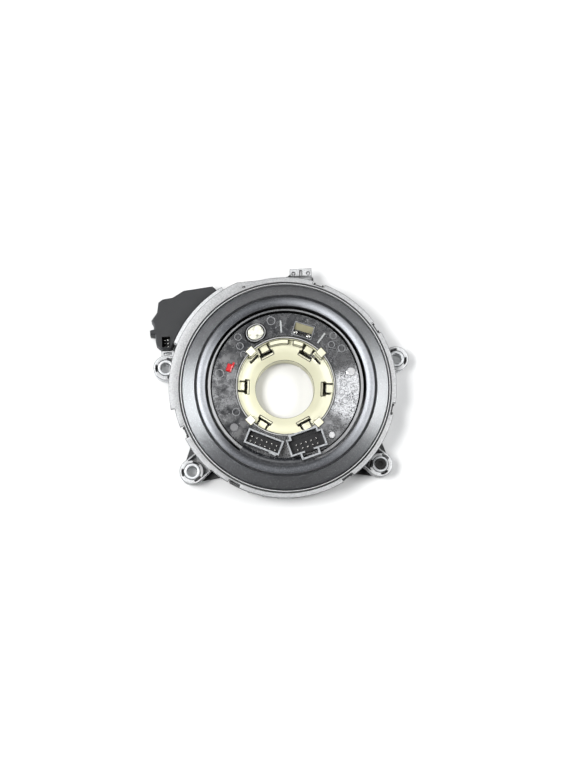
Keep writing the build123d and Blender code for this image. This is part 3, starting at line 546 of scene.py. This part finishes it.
@dataclass(frozen=True)
class RotorFinish(Finish):
    """Black glass-filled plastic: satin bands and a mottled, glossier face with dust specks and a painted
    glare patch on one side, painted highlights and lines of painted shade.
    """

    # the face
    face_edge: Span = (49.0, 49.4)  # radii over which the face passes into the rim
    face_roughness: float = 0.25
    flow: Pattern = Pattern(2.2 * MM, 5.0, 0.7)
    blotch: Pattern = Pattern(7 * MM, 4.0, 0.65)
    blotch_depth: float = 0.10 * MM
    patchy: Pattern = Pattern(0.9 * MM, 3.0, 0.75)
    flow_gloss: tuple[float, float] = (0.16, 0.2)  # on the bands and on the face
    patchy_gloss: float = 0.3
    blotch_gloss: float = 0.5

    # the bands and the rim
    band: Span = (53.2, 58.3)
    band_colour: Colour = (0.062, 0.065, 0.072)
    # painted highlight: the bands' colour in the sectors painted as lit
    lit_band_colour: Colour = (0.29, 0.30, 0.32)
    band_metal: float = 0.9
    band_roughness: float = 0.14  # added to the rest's
    rim: Span = (49.5, 51.1)
    rim_bottom: float = 27.0
    # the rim top is painted lighter as a highlight, most in the sectors painted as lit
    rim_colour: Colour = (0.07, 0.072, 0.075)
    lit_rim_colour: Colour = (0.20, 0.203, 0.21)
    dull_rim: Sector = Sector(88.0, 30.0, 12.0)
    dull_rim_metal: float = 0.7
    # the sectors painted as lit, where the bands and the rim take their painted highlight colours
    lit_sides: tuple[Sector, ...] = (Sector(18.0, 62.0, 24.0), Sector(182.0, 32.0, 18.0))

    # the collar, the recesses, the ribs and the window
    collar_radius: float = 40.3
    collar_angle: float = 116.9
    collar_half: float = 1.0  # half the length of its middle line
    collar_bottom: float = 27.8
    collar_reach: Span = (47.0, 47.5)  # radii past which nothing is the collar's
    # painted highlight: a light grey line on the collar's top
    collar_line: Span = (5.0, 5.6)
    collar_highlight_colour: Colour = (0.30, 0.30, 0.30)
    collar_shadow: Span = (5.6, 6.4)
    collar_shadow_heights: Span = (25.6, 26.0)
    button_gap: Span = (4.9, 5.05)
    # painted shade: the recesses below this height are painted near black
    recess_top: float = 24.8
    recess_reach: Span = (45.0, 46.0)
    recess_shade_colour: Colour = (0.004, 0.004, 0.004)
    # painted highlight: the rib tops are painted light grey
    ribs: tuple[Sector, ...] = (Sector(51.0, 1.6, 0.3), Sector(92.0, 1.6, 0.3))
    rib_radii: Span = (35.0, 44.0)
    rib_heights: Span = (26.2, 27.0)
    rib_highlight_colour: Colour = (0.30, 0.31, 0.31)
    window_angle: float = 70.1
    window: Span = (34.6, 42.8)
    window_half: float = 6.3
    window_line_width: float = 0.5
    # painted highlight on the line round the window
    window_highlight_colour: Colour = (0.16, 0.163, 0.17)

    # the black lines of painted shade
    moat: Span = (48.5, 49.35)
    moat_top: float = 25.5
    # the moat's painted shade is wider in this upper sector
    wide_moat_end: float = 50.0
    wide_moat: Sector = Sector(95.0, 68.0, 12.0)
    channel: Span = (51.2, 53.1)
    channel_top: float = 24.0
    # painted light on the channel's floor in this sector, and weaker painted shade in the next
    painted_lit_channel: Sector = Sector(293.0, 52.0, 12.0)
    painted_lit_channel_colour: Colour = (0.30, 0.305, 0.32)
    weaker_shade_sector: Sector = Sector(182.0, 30.0, 16.0)
    weaker_shade_share: float = 0.6
    # painted shade: the colour of the black lines
    black: Colour = (0.003, 0.003, 0.003)

    # dust, painted glare and grit
    speck_size: float = 1.7 * MM
    speck_edge: Span = (0.06, 0.16)
    speck_places: Pattern = Pattern(5 * MM)
    speck_levels: Span = (0.45, 0.65)
    dust_share: float = 0.6
    dust_colour: Colour = (0.42, 0.43, 0.45)
    dust_and_glare_roughness: float = 0.3  # added where dust or the painted glare lies
    # painted glare: a pale, blotched reflection patch on one side of the face, broken by scratch lines
    painted_glare: Sector = Sector(-10.0, 21.0, 7.0)
    glare_and_hairline_colour: Colour = (0.50, 0.51, 0.53)
    painted_glare_shares: tuple[float, float, float] = (0.12, 0.35, 0.8)  # even, blotched and patchy
    painted_glare_blotches: Span = (0.38, 0.60)
    painted_glare_patches: Span = (0.42, 0.58)
    painted_glare_scratches: Pattern = Pattern(2.6 * MM, 3.0, 0.6)
    painted_glare_scratch_width: float = 0.03
    painted_glare_scratch_share: float = 0.6
    hairs: Pattern = Pattern(5.5 * MM, 3.0, 0.6)
    hair_width: float = 0.012
    hair_places: Pattern = Pattern(9 * MM)
    hair_levels: Span = (0.45, 0.6)
    hair_share: float = 0.25
    # faint painted glare in two more sectors of the face
    faint_glare_sectors: tuple[Sector, ...] = (Sector(180.0, 24.0, 12.0), Sector(322.0, 14.0, 8.0))
    faint_glare_levels: Span = (0.35, 0.7)
    faint_glare_share: float = 0.2
    speckle: Pattern = Pattern(0.7 * MM, 2.0, 0.7)
    speckle_shade: float = 0.9
    grit: Pattern = Pattern(0.9 * MM, 2.0, 0.8)
    grit_levels: Span = (0.50, 0.66)
    grit_share: float = 0.15
    grit_colour: Colour = (0.40, 0.41, 0.43)

    def surface(self, shader: Shader) -> RotorSurface:
        """Measure and mark what the steps of painting share.

        Args:
            shader: The material's tree.

        Returns:
            The marks and noises.
        """
        radius, height = shader.radius(), shader.axis("Z")
        return RotorSurface(
            shader=shader,
            radius=radius,
            height=height,
            on_face=1 - radius.step(*self.face_edge),
            on_band=radius.between(*self.band, soft=0.3),
            on_rim=height.above(self.rim_bottom) * radius.between(*self.rim, soft=0.1),
            on_collar=height.above(self.collar_bottom) * (1 - radius.step(*self.collar_reach)),
            from_collar=self.collar_distance(shader),
            lit=shader.sectors(*self.lit_sides),
            flow=shader.noise(self.flow) - 0.5,
            blotch=shader.noise(self.blotch),
            patchy=shader.noise(self.patchy),
        )

    def collar_distance(self, shader: Shader) -> Value:
        """Give the distance from the middle line of the lock button's collar.

        Args:
            shader: The material's tree.

        Returns:
            The distance.
        """
        along, across = shader.turned(self.collar_angle)
        side = (across.maths("ABSOLUTE") - self.collar_half).maths("MAXIMUM", 0.0)
        out = along - self.collar_radius
        return (side * side + out * out) ** 0.5

    def window_line(self, shader: Shader) -> Value:
        """Mark the thin raised line round the window, which is painted light as a highlight.

        Args:
            shader: The material's tree.

        Returns:
            1 on the line.
        """
        along, across = shader.turned(self.window_angle)
        (inner, outer), half, width = self.window, self.window_half, self.window_line_width
        away = across.maths("ABSOLUTE")
        whole = along.between(inner - width, outer + width, soft=0.05) * (1 - away.above(half + width))
        hole = along.between(inner, outer, soft=0.05) * (1 - away.above(half))
        return whole * (1 - hole)

    def base(self, place: RotorSurface) -> bpy.types.NodeSocket:
        """Give the colours of the bands, the rim and the face's fittings, with painted highlights and
        painted shade.

        Args:
            place: The marks and noises.

        Returns:
            The colour.
        """
        mix, radius, height = place.shader.mix, place.radius, place.height
        colour = mix(place.on_band, self.colour, mix(place.lit, self.band_colour, self.lit_band_colour))
        colour = mix(place.on_rim, colour, mix(place.lit, self.rim_colour, self.lit_rim_colour))
        # painted highlight on the collar's top
        on_line = place.from_collar.between(*self.collar_line, soft=0.08)
        colour = mix(place.on_collar * on_line, colour, self.collar_highlight_colour)
        colour = mix(self.window_line(place.shader), colour, self.window_highlight_colour)
        # painted shade in the recesses
        sunk = (1 - height.above(self.recess_top, soft=0.2)) * (1 - radius.step(*self.recess_reach))
        colour = mix(sunk, colour, self.recess_shade_colour)
        # painted highlight on the rib tops
        on_rib = height.between(*self.rib_heights, soft=0.1) * radius.between(*self.rib_radii, soft=0.1)
        return mix(place.shader.sectors(*self.ribs) * on_rib, colour, self.rib_highlight_colour)

    def dust(self, place: RotorSurface) -> Value:
        """Mark scattered specks of dust."""
        speck = 1 - place.shader.cells(self.speck_size).step(*self.speck_edge)
        return speck * place.shader.noise(self.speck_places).step(*self.speck_levels)

    def painted_glare_density(self, place: RotorSurface) -> Value:
        """Mark the painted glare patch: a pale reflection, blotched and broken by scratch lines.

        Args:
            place: The marks and noises.

        Returns:
            How dense the painted glare is.
        """
        even, blotched, patchy = self.painted_glare_shares
        density = even + place.blotch.step(*self.painted_glare_blotches) * blotched
        density = density + place.patchy.step(*self.painted_glare_patches) * patchy
        scratched = place.shader.scratches(self.painted_glare_scratches, self.painted_glare_scratch_width)
        where = place.shader.sector(self.painted_glare) * place.on_face
        return where * density * (1 - scratched * self.painted_glare_scratch_share)

    def hairlines_and_faint_glare(self, place: RotorSurface) -> Value:
        """Mark the hairlines and the faint painted glare on the rest of the face.

        Args:
            place: The marks and noises.

        Returns:
            How dense they are.
        """
        hairs = place.shader.scratches(self.hairs, self.hair_width) * place.on_face
        hairs = hairs * place.shader.noise(self.hair_places).step(*self.hair_levels) * self.hair_share
        faint_glare_sectors = place.shader.sectors(*self.faint_glare_sectors) * place.on_face
        return hairs + faint_glare_sectors * place.blotch.step(*self.faint_glare_levels) * self.faint_glare_share

    def channels(self, place: RotorSurface) -> tuple[Value, Value]:
        """Mark the painted light and shade on the floor of the channel between the rim and the band.

        Args:
            place: The marks and noises.

        Returns:
            1 where the floor is painted lit, and 1 where it is painted black as shade.
        """
        floor = place.radius.between(*self.channel, soft=0.06)
        floor = floor * (1 - place.height.above(self.channel_top, soft=0.3))
        # pale: painted light on the floor; soft: where its painted shade is weaker
        pale = place.shader.sector(self.painted_lit_channel)
        soft = place.shader.sector(self.weaker_shade_sector) * self.weaker_shade_share
        return floor * pale, floor * (1 - pale) * (1 - soft)

    def black_lines(self, place: RotorSurface, channel: Value) -> Value:
        """Mark the lines painted black as full shade.

        Args:
            place: The marks and noises.
            channel: 1 where the channel's floor is painted black as shade.

        Returns:
            1 on the moat, the channel, and the gaps inside and outside the collar.
        """
        moat = place.radius.between(*self.moat, soft=0.06)
        moat = moat * (1 - place.height.above(self.moat_top, soft=0.2))
        wide = place.radius.between(self.moat[1], self.wide_moat_end, soft=0.06)
        wide = wide * place.shader.sector(self.wide_moat)
        outside = place.from_collar.between(*self.collar_shadow, soft=0.1)
        outside = outside * place.height.between(*self.collar_shadow_heights, soft=0.05)
        inside = (1 - place.from_collar.step(*self.button_gap)) * place.on_collar
        return (moat + wide + channel + outside + inside).clamped()

    def gloss(self, place: RotorSurface) -> Value:
        """Give the roughness of the bare plastic.

        Args:
            place: The marks and noises.

        Returns:
            The roughness.
        """
        on_bands, on_face = self.flow_gloss
        satin = self.roughness + place.flow * on_bands + (place.patchy - 0.5) * self.patchy_gloss
        mottled = self.face_roughness + (place.blotch - 0.5) * self.blotch_gloss + place.flow * on_face
        return satin + (mottled - satin) * place.on_face

    def paint(self, shader: Shader) -> None:
        """Build the material's nodes.

        Args:
            shader: The material's tree.
        """
        place = self.surface(shader)
        dust, painted_glare = self.dust(place), self.painted_glare_density(place)
        painted_lit_channel, black_channel = self.channels(place)
        black = self.black_lines(place, black_channel)
        colour = self.clouded(shader, self.base(place))
        colour = shader.mix(dust * self.dust_share, colour, self.dust_colour)
        # the painted glare, the faint painted glare and the hairlines
        colour = shader.mix((painted_glare + self.hairlines_and_faint_glare(place)).clamped(), colour, self.glare_and_hairline_colour)
        colour = shader.shaded(colour, 1 + (shader.noise(self.speckle) - 0.5) * self.speckle_shade)
        grit = shader.noise(self.grit).step(*self.grit_levels) * (1 - place.on_face) * self.grit_share
        colour = shader.mix(grit, colour, self.grit_colour)
        # painted light on the channel's floor
        colour = shader.mix(painted_lit_channel, colour, self.painted_lit_channel_colour)
        dull_rim = place.on_rim * shader.sector(self.dull_rim)
        # the black lines of painted shade are fully metallic, so they reflect nothing
        metal = place.on_band * self.band_metal + black + dull_rim * self.dull_rim_metal
        roughness = self.gloss(place) + (dust + painted_glare) * self.dust_and_glare_roughness
        roughness = roughness + place.on_band * self.band_roughness
        shader.finish(
            Base_Color=shader.mix(black, colour, self.black),
            Roughness=roughness.clamped(),
            Metallic=metal.clamped(),
            IOR=self.index,
            Normal=shader.bump(place.blotch, self.blotch_depth, self.grain(shader)),
        )


@dataclass(frozen=True)
class SocketFinish(Finish):
    """Black plastic with a light grey painted highlight, broken up by noise, on its wall tops."""

    top: Span = (32.15, 32.3)  # heights between which the walls take the painted highlight
    top_highlight_colour: Colour = (0.28, 0.29, 0.30)
    highlight_breakup: Pattern = Pattern(1.1 * MM, 3.0, 0.7)
    highlight_breakup_levels: Span = (0.30, 0.55)
    least_light: float = 0.35  # the painted highlight's share where it is least

    def paint(self, shader: Shader) -> None:
        """Build the material's nodes.

        Args:
            shader: The material's tree.
        """
        # painted highlight on the wall tops, broken up by noise
        highlight_strength = shader.noise(self.highlight_breakup).step(*self.highlight_breakup_levels)
        lit = shader.axis("Z").step(*self.top) * (self.least_light + highlight_strength * (1 - self.least_light))
        shader.finish(
            Base_Color=shader.mix(lit, self.clouded(shader, self.colour), self.top_highlight_colour),
            Roughness=self.roughness,
            IOR=self.index,
        )


@dataclass(frozen=True)
class HubFinish(Finish):
    """Cream plastic with a dark seam and a grey line round the top of its ring, painted shade on one side
    and painted light on the other.
    """

    seam: Span = (31.7, 33.4)
    line: Span = (32.25, 32.85)
    seam_heights: Span = (24.95, 25.35)
    seam_colour: Colour = (0.012, 0.012, 0.012)
    line_colour: Colour = (0.36, 0.36, 0.35)
    # painted shade on one side of the hub and painted light on the other
    painted_shade_side: Sector = Sector(0.0, 50.0, 25.0)
    painted_shade_share: float = 0.12
    painted_light_side: Sector = Sector(185.0, 50.0, 25.0)
    painted_light_share: float = 0.22

    def paint(self, shader: Shader) -> None:
        """Build the material's nodes.

        Args:
            shader: The material's tree.
        """
        radius = shader.radius()
        on_top = shader.axis("Z").between(*self.seam_heights, soft=0.04)
        # dim and pale mark the sides of painted shade and painted light
        dim, pale = shader.sector(self.painted_shade_side), shader.sector(self.painted_light_side)
        painted_light_factor = 1 - dim * self.painted_shade_share + pale * self.painted_light_share
        cream = shader.shaded(self.clouded(shader, self.colour), painted_light_factor)
        colour = shader.mix(radius.between(*self.seam, soft=0.05) * on_top, cream, self.seam_colour)
        colour = shader.mix(radius.between(*self.line, soft=0.05) * on_top, colour, self.line_colour)
        shader.finish(
            Base_Color=colour,
            Roughness=self.sheen(shader),
            IOR=self.index,
            Normal=self.grain(shader),
        )


class Palette(Enum):
    """The finishes of the object, and that of the floor."""

    HOUSING = HousingFinish(
        "light_grey_plastic", (0.284, 0.287, 0.291), 0.5, cloud=0.10, cloud_size=6 * MM,
        grain_depth=0.03 * MM, edge_shade=0.1,
    )
    SLEEVE = Finish("steel_sleeve", (0.42, 0.43, 0.44), 0.4, 0.2, cloud=0.08, edge_shade=0.15)
    SCREW = Finish("black_steel", (0.004, 0.004, 0.004), 0.6, index=1.3)
    GLIDE = Finish("glide_film", (0.75, 0.74, 0.70), 0.3)
    TERMINAL = Finish("terminal_plastic", (0.08, 0.08, 0.085), 0.5)
    RIBBON = Finish("ribbon_film", (0.55, 0.42, 0.20), 0.3)
    MODULE = Finish(
        "matte_black_plastic", (0.0145, 0.0150, 0.0165), 0.66, cloud=0.22,
        grain_depth=0.04 * MM, index=1.42,
    )
    BASE = Finish("base_black", (0.007, 0.007, 0.0075), 0.6, slot="matte_black_plastic")
    BOARD = Finish("circuit_board", (0.03, 0.16, 0.07), 0.35)
    TIN = Finish("tin_plate", (0.70, 0.69, 0.66), 0.25, 1.0)
    ROTOR = RotorFinish("gloss_black_plastic", (0.013, 0.014, 0.0165), 0.42, index=2.04)
    MARK = Finish("mark_grey", (0.19, 0.193, 0.20), 0.35, slot="gloss_black_plastic")
    HUB = HubFinish(
        "cream_plastic", (0.59, 0.58, 0.44), 0.42, cloud=0.05, cloud_size=14 * MM, edge_shade=0.06,
    )
    SOCKET = SocketFinish("socket_black", (0.010, 0.010, 0.011), 0.3, index=1.42)
    SPRING = Finish("spring_steel", (0.65, 0.65, 0.66), 0.25, 1.0)
    FLAG = Finish("red_plastic", (0.40, 0.008, 0.012), 0.3)
    TONGUE = Finish("beige_plastic", (0.235, 0.22, 0.14), 0.4)
    DULL_RIVET = Finish("dull_rivet", (0.12, 0.12, 0.125), 0.4, slot="rivet_metal")
    RIVET = Finish("rivet_metal", (0.70, 0.70, 0.71), 0.3, 1.0)
    KNOB = Finish("ivory_plastic", (0.56, 0.56, 0.48), 0.3, cloud=0.3, cloud_size=2.5 * MM)
    PAPER = Finish("floor_paper", (0.60, 0.60, 0.60), 0.8, cloud=0.01)

    def dress(self, *names: str) -> None:
        """Give the finish to CAD nodes.

        Args:
            names: The nodes' names.
        """
        for name in names:
            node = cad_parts[name]
            node.data.materials.clear()
            node.data.materials.append(self.value.material())


# ---------------------------------------------------------------- pieces


def piece_from(mesh: bpy.types.Mesh, name: str, finish: Palette, body: Body) -> bpy.types.Object:
    """Make an object of a mesh that is already in place, and hand it over.

    Args:
        mesh: The mesh, in metres in the object's frame.
        name: The new object's name.
        finish: The finish that it wears.
        body: The body that it rides on.

    Returns:
        The new object.
    """
    mesh.materials.clear()
    mesh.materials.append(finish.value.material())
    piece = bpy.data.objects.new(name, mesh)
    bpy.context.scene.collection.objects.link(piece)
    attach(piece, body.value)
    log.info("%s made", name)
    return piece


def evaluated(thing: bpy.types.Object) -> bpy.types.Mesh:
    """Turn an object into the plain mesh that its modifiers give.

    Args:
        thing: The object, which is removed.

    Returns:
        The mesh.
    """
    bpy.context.view_layer.update()
    graph = bpy.context.evaluated_depsgraph_get()
    mesh = bpy.data.meshes.new_from_object(thing.evaluated_get(graph))
    bpy.data.objects.remove(thing)
    return mesh


def merged(node: str) -> bpy.types.Mesh:
    """Copy a CAD node's mesh in place and join its loose triangles into larger faces.

    Args:
        node: The node's name.

    Returns:
        The mesh, in metres in the object's frame.
    """
    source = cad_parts[node]
    mesh = source.data.copy()
    mesh.transform(source.matrix_world)
    shape = bmesh.new()
    shape.from_mesh(mesh)
    bmesh.ops.remove_doubles(shape, verts=shape.verts, dist=MERGE_REACH)
    limits = {"angle_face_threshold": FLAT_ANGLE, "angle_shape_threshold": math.pi}
    bmesh.ops.join_triangles(shape, faces=shape.faces, **limits)
    bmesh.ops.recalc_face_normals(shape, faces=shape.faces)
    shape.to_mesh(mesh)
    shape.free()
    mesh.polygons.foreach_set("use_smooth", [True] * len(mesh.polygons))
    return mesh


@dataclass(frozen=True)
class Eased:
    """A copy of a CAD node with rounded edges, which stands in the node's place."""

    node: str
    finish: Palette
    body: Body
    width: float = 0.2 * MM
    segments: int = 2
    angle: float = 32.0  # degrees; edges sharper than this are rounded

    def build(self) -> bpy.types.Object:
        """Merge, bevel and shade the copy.

        Returns:
            The new object.
        """
        mesh = merged(self.node)
        mesh.materials.clear()
        for _ in ("faces", "rounded edges"):  # the bevel puts its faces in the second slot
            mesh.materials.append(None)
        blank = bpy.data.objects.new("blank", mesh)
        bpy.context.scene.collection.objects.link(blank)
        bevel = blank.modifiers.new("bevel", "BEVEL")
        bevel.material = 1
        bevel.width, bevel.segments = self.width, self.segments
        bevel.limit_method, bevel.angle_limit = "ANGLE", math.radians(self.angle)
        bevel.use_clamp_overlap = False  # the smallest face would set the width everywhere
        bevel.harden_normals = True
        bevel.miter_outer = "MITER_ARC"
        mesh = evaluated(blank)
        self.mark(mesh)
        piece = piece_from(mesh, f"{self.node}_eased", self.finish, self.body)
        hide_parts(self.node)
        return piece

    @staticmethod
    def mark(mesh: bpy.types.Mesh) -> None:
        """Store which faces are rounded edges, for the finishes, and put all faces in one slot.

        Args:
            mesh: The bevelled mesh.
        """
        marks: list[float] = []
        for face in mesh.polygons:
            marks.extend([float(face.material_index)] * face.loop_total)
            face.material_index = 0
        mesh.attributes.new(EDGE_MARK, "FLOAT", "CORNER").data.foreach_set("value", marks)


# ---------------------------------------------------------------- studio


@dataclass
class Softbox:
    """An area light aimed at a point."""

    name: str
    place: Point
    size: tuple[float, float]  # width and height
    radiance: float
    aim: Point = (0.0, 0.0, 0.02)
    colour: Colour = (1.0, 1.0, 1.0)

    def build(self) -> bpy.types.Object:
        """Make the light; its power follows from its radiance and size.

        Returns:
            The light.
        """
        width, height = self.size
        data = bpy.data.lights.new(self.name, "AREA")
        data.shape = "RECTANGLE"
        data.size, data.size_y = width, height
        data.energy = self.radiance * math.pi * width * height
        data.color = self.colour
        light = bpy.data.objects.new(self.name, data)
        light.location = self.place
        light.rotation_euler = (Vector(self.aim) - Vector(self.place)).to_track_quat("-Z", "Y").to_euler()
        bpy.context.scene.collection.objects.link(light)
        return light


@dataclass
class Studio:
    """A pale floor, soft lights and the camera."""

    elevation: float = 81.5  # degrees
    azimuth: float = 16.4  # degrees; the camera stands in front and a little to the left
    roll: float = 2.5  # degrees by which the object is turned in the picture
    lens: float = 85.0
    sensor: float = 36.0
    seen_height: float = 0.5069  # how much of the rotor's plane the frame takes in
    centre: Point = (0.0, 0.0, 0.021)
    shift: tuple[float, float] = (1.67 * MM, 1.90 * MM)  # to the right and up in the picture
    floor_radius: float = 3.0
    floor_corners: int = 64
    white: Colour = (1.0, 1.0, 1.0)
    all_round: float = 0.04  # the strength of the light from all round
    softboxes: list[Softbox] = field(
        default_factory=lambda: [
            Softbox("key", (-0.75, 0.75, 1.15), (0.5, 0.5), 6.3),
            Softbox("left_strip", (-0.50, 0.0, 0.075), (0.40, 0.13), 19.0, colour=(0.93, 0.97, 1.0)),
            Softbox("right_strip", (0.50, 0.0, 0.075), (0.40, 0.13), 20.0, colour=(0.95, 0.98, 1.0)),
            Softbox("left_wing", (-0.65, 0.0, 0.75), (0.5, 0.3), 5.0),
            Softbox("right_wing", (0.65, 0.0, 0.75), (0.5, 0.3), 14.0),
            Softbox("high_left", (-0.45, 0.0, 1.05), (0.4, 0.3), 34.0),
            Softbox("glare", (0.25, 0.13, 1.30), (0.18, 0.20), 4.5, (0.0, 0.0, 0.0)),
        ]
    )

    def build(self) -> None:
        """Make the whole studio."""
        self.camera()
        self.floor(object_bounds()[0][2])
        self.world()
        for softbox in self.softboxes:
            softbox.build()

    def camera(self) -> None:
        """Place the camera above and slightly in front of the object."""
        rise, side = math.radians(self.elevation), math.radians(self.azimuth)
        turn = math.radians(self.roll) - side
        ahead = Vector((math.sin(side), math.cos(side), 0.0))
        level = Vector((math.cos(side), -math.sin(side), 0.0))
        above = Vector((0.0, 0.0, 1.0))
        forward = ahead * math.cos(rise) - above * math.sin(rise)
        upright = ahead * math.sin(rise) + above * math.cos(rise)
        right = level * math.cos(turn) - upright * math.sin(turn)
        up = level * math.sin(turn) + upright * math.cos(turn)
        target = Vector(self.centre) + right * self.shift[0] + up * self.shift[1]
        data = bpy.data.cameras.new("camera")
        data.lens, data.sensor_width = self.lens, self.sensor
        distance = self.seen_height * self.lens / self.sensor
        camera = bpy.data.objects.new("camera", data)
        turned = Matrix((right, up, -forward)).transposed().to_4x4()
        camera.matrix_world = Matrix.Translation(target - forward * distance) @ turned
        bpy.context.scene.collection.objects.link(camera)
        bpy.context.scene.camera = camera

    def floor(self, height: float) -> None:
        """Lay the floor.

        Args:
            height: The object's lowest point.
        """
        mesh = bpy.data.meshes.new("floor")
        shape = bmesh.new()
        bmesh.ops.create_circle(shape, cap_ends=True, radius=self.floor_radius, segments=self.floor_corners)
        bmesh.ops.translate(shape, verts=shape.verts, vec=(0.0, 0.0, height))
        shape.to_mesh(mesh)
        shape.free()
        floor = bpy.data.objects.new("floor", mesh)
        floor.data.materials.append(Palette.PAPER.value.material())
        bpy.context.scene.collection.objects.link(floor)
        floor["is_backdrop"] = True

    def world(self) -> None:
        """Light the scene softly from all round."""
        world = bpy.data.worlds.new("studio")
        world.use_nodes = True
        background = world.node_tree.nodes["Background"]
        background.inputs["Color"].default_value = (*self.white, 1.0)
        background.inputs["Strength"].default_value = self.all_round
        bpy.context.scene.world = world
        bpy.context.scene.view_settings.view_transform = "Standard"


# ---------------------------------------------------------------- the object


@dataclass
class Housing:
    """The light grey shell, its base, sleeves and captive screw."""

    shell_edge: float = 0.27 * MM
    corners: tuple[str, ...] = ("upper_left", "upper_right", "lower_left", "lower_right")

    def build(self) -> None:
        """Ease the edges that catch the light, and dress the nodes."""
        Eased("housing_shell", Palette.HOUSING, Body.STATOR, width=self.shell_edge).build()
        Palette.BASE.dress("base_cover")
        for corner in self.corners:
            Eased(f"sleeve_{corner}", Palette.SLEEVE, Body.STATOR).build()
        Palette.SCREW.dress("captive_screw")
        Palette.GLIDE.dress("glide_disc")
        Palette.TERMINAL.dress("outer_terminal")
        Palette.RIBBON.dress("ribbon_cable")
        log.info("housing dressed")


@dataclass
class Rotor:
    """The black cover, the cream hub and the fittings on the face."""

    hub_edge: float = 0.32 * MM
    spring_seat: float = 18.1 * MM
    spring_pressed: float = 0.4  # the pressed spring's height as a share of its free height

    def build(self) -> None:
        """Ease the hub's edges, dress the nodes and make the spring."""
        Palette.ROTOR.dress("rotor_cover")
        Eased("inner_hub", Palette.HUB, Body.ROTOR, width=self.hub_edge).build()
        Palette.SOCKET.dress("wheel_socket_left", "wheel_socket_right")
        Palette.TIN.dress("socket_pins_left", "socket_pins_right", "contact_posts")
        self.spring()
        Palette.FLAG.dress("position_flag")
        Palette.TONGUE.dress("window_tongue")
        Palette.RIVET.dress("rivet_right", "rivet_lower_right")
        Palette.DULL_RIVET.dress("rivet_lower_left")
        Palette.TERMINAL.dress("inner_terminal")
        Palette.KNOB.dress("lock_button")
        log.info("rotor dressed")

    def spring(self) -> None:
        """Copy the spring from its CAD node, which is hidden; the lock button presses the real spring
        together.
        """
        spring = piece_from(merged("lock_spring"), "lock_spring_wire", Palette.SPRING, Body.ROTOR)
        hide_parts("lock_spring")
        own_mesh(spring)


@dataclass
class FaceMarks:
    """Thin round marks that the mould's pins leave on the rotor's face."""

    height: float = 25.8 * MM
    line: float = 0.10  # the line's half width, as a share of a mark's radius
    line_corners: int = 6
    flatness: float = 0.35  # the line's height as a share of its width
    corners: int = 36
    places: tuple[Point, ...] = (  # distance from the axis, angle and radius, in millimetres and degrees
        (44.5, 100.0, 2.6),
        (45.2, 131.6, 2.2),
        (40.1, 136.3, 2.2),
        (44.3, 167.0, 2.7),
        (34.9, 140.5, 1.9),
        (46.1, 44.5, 2.2),
        (40.9, 39.9, 2.1),
        (44.7, 31.7, 2.3),
        (38.3, 0.5, 2.2),
        (37.2, 351.1, 1.9),
        (36.9, 205.6, 2.4),
        (40.2, 343.6, 2.0),
    )

    def tree(self) -> bpy.types.GeometryNodeTree:
        """Build the tree that sets a flattened ring on every point.

        Returns:
            The tree.
        """
        tree = bpy.data.node_groups.new("face_marks", "GeometryNodeTree")
        tree.interface.new_socket("Geometry", in_out="INPUT", socket_type="NodeSocketGeometry")
        tree.interface.new_socket("Line", in_out="INPUT", socket_type="NodeSocketFloat")
        tree.interface.new_socket("Corners", in_out="INPUT", socket_type="NodeSocketInt")
        tree.interface.new_socket("Geometry", in_out="OUTPUT", socket_type="NodeSocketGeometry")
        graph = Graph(tree)
        given = graph.add("NodeGroupInput").outputs
        circle = {"Resolution": given["Corners"], "Radius": 1.0}
        round_path = graph.add("GeometryNodeCurvePrimitiveCircle", {}, circle)
        outline = {"Resolution": self.line_corners, "Radius": given["Line"]}
        section = graph.add("GeometryNodeCurvePrimitiveCircle", {}, outline)
        paths = {"Curve": round_path.outputs[0], "Profile Curve": section.outputs[0]}
        ring = graph.add("GeometryNodeCurveToMesh", {}, paths)
        lowered = {"Geometry": ring.outputs[0], "Scale": (1.0, 1.0, self.flatness)}
        flat = graph.add("GeometryNodeTransform", {}, lowered)
        size = graph.add("GeometryNodeInputNamedAttribute", {"data_type": "FLOAT"}, {"Name": "size"})
        scale = size.outputs["Attribute"]
        placed = {"Points": given["Geometry"], "Instance": flat.outputs[0], "Scale": scale}
        rings = graph.add("GeometryNodeInstanceOnPoints", {}, placed)
        real = graph.add("GeometryNodeRealizeInstances", {}, {"Geometry": rings.outputs[0]})
        painted = {"Geometry": real.outputs[0], "Material": Palette.MARK.value.material()}
        done = graph.add("GeometryNodeSetMaterial", {}, painted)
        graph.add("NodeGroupOutput", {}, {"Geometry": done.outputs[0]})
        return tree

    def build(self) -> None:
        """Set the marks on the face."""
        points: list[Point] = []
        for away, angle, _ in self.places:
            turn = math.radians(angle)
            points.append((away * MM * math.cos(turn), away * MM * math.sin(turn), self.height))
        mesh = bpy.data.meshes.new("mark_points")
        mesh.from_pydata(points, [], [])
        sizes = [size * MM for _, _, size in self.places]
        mesh.attributes.new("size", "FLOAT", "POINT").data.foreach_set("value", sizes)
        seed = bpy.data.objects.new("mark_points", mesh)
        bpy.context.scene.collection.objects.link(seed)
        tree = self.tree()
        nodes = seed.modifiers.new("marks", "NODES")
        nodes.node_group = tree
        settings = {"Line": self.line, "Corners": self.corners}
        for item in tree.interface.items_tree:
            if item.in_out == "INPUT" and item.name in settings:
                nodes[item.identifier] = settings[item.name]
        piece_from(evaluated(seed), "face_marks", Palette.MARK, Body.ROTOR)
        log.info("face marks set")


@dataclass
class Module:
    """The harness module beside the housing."""

    def build(self) -> None:
        """Dress the nodes."""
        Palette.MODULE.dress("module_case", "module_lid")
        Palette.BOARD.dress("module_board")
        Palette.TIN.dress("module_pins")
        log.info("module dressed")


def main() -> None:
    """Build the classes in order."""
    logging.basicConfig(level=logging.INFO, format="%(message)s")
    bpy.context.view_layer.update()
    for part in (Studio(), Housing(), Rotor(), FaceMarks(), Module()):
        part.build()


if __name__ == "__main__":
    main()
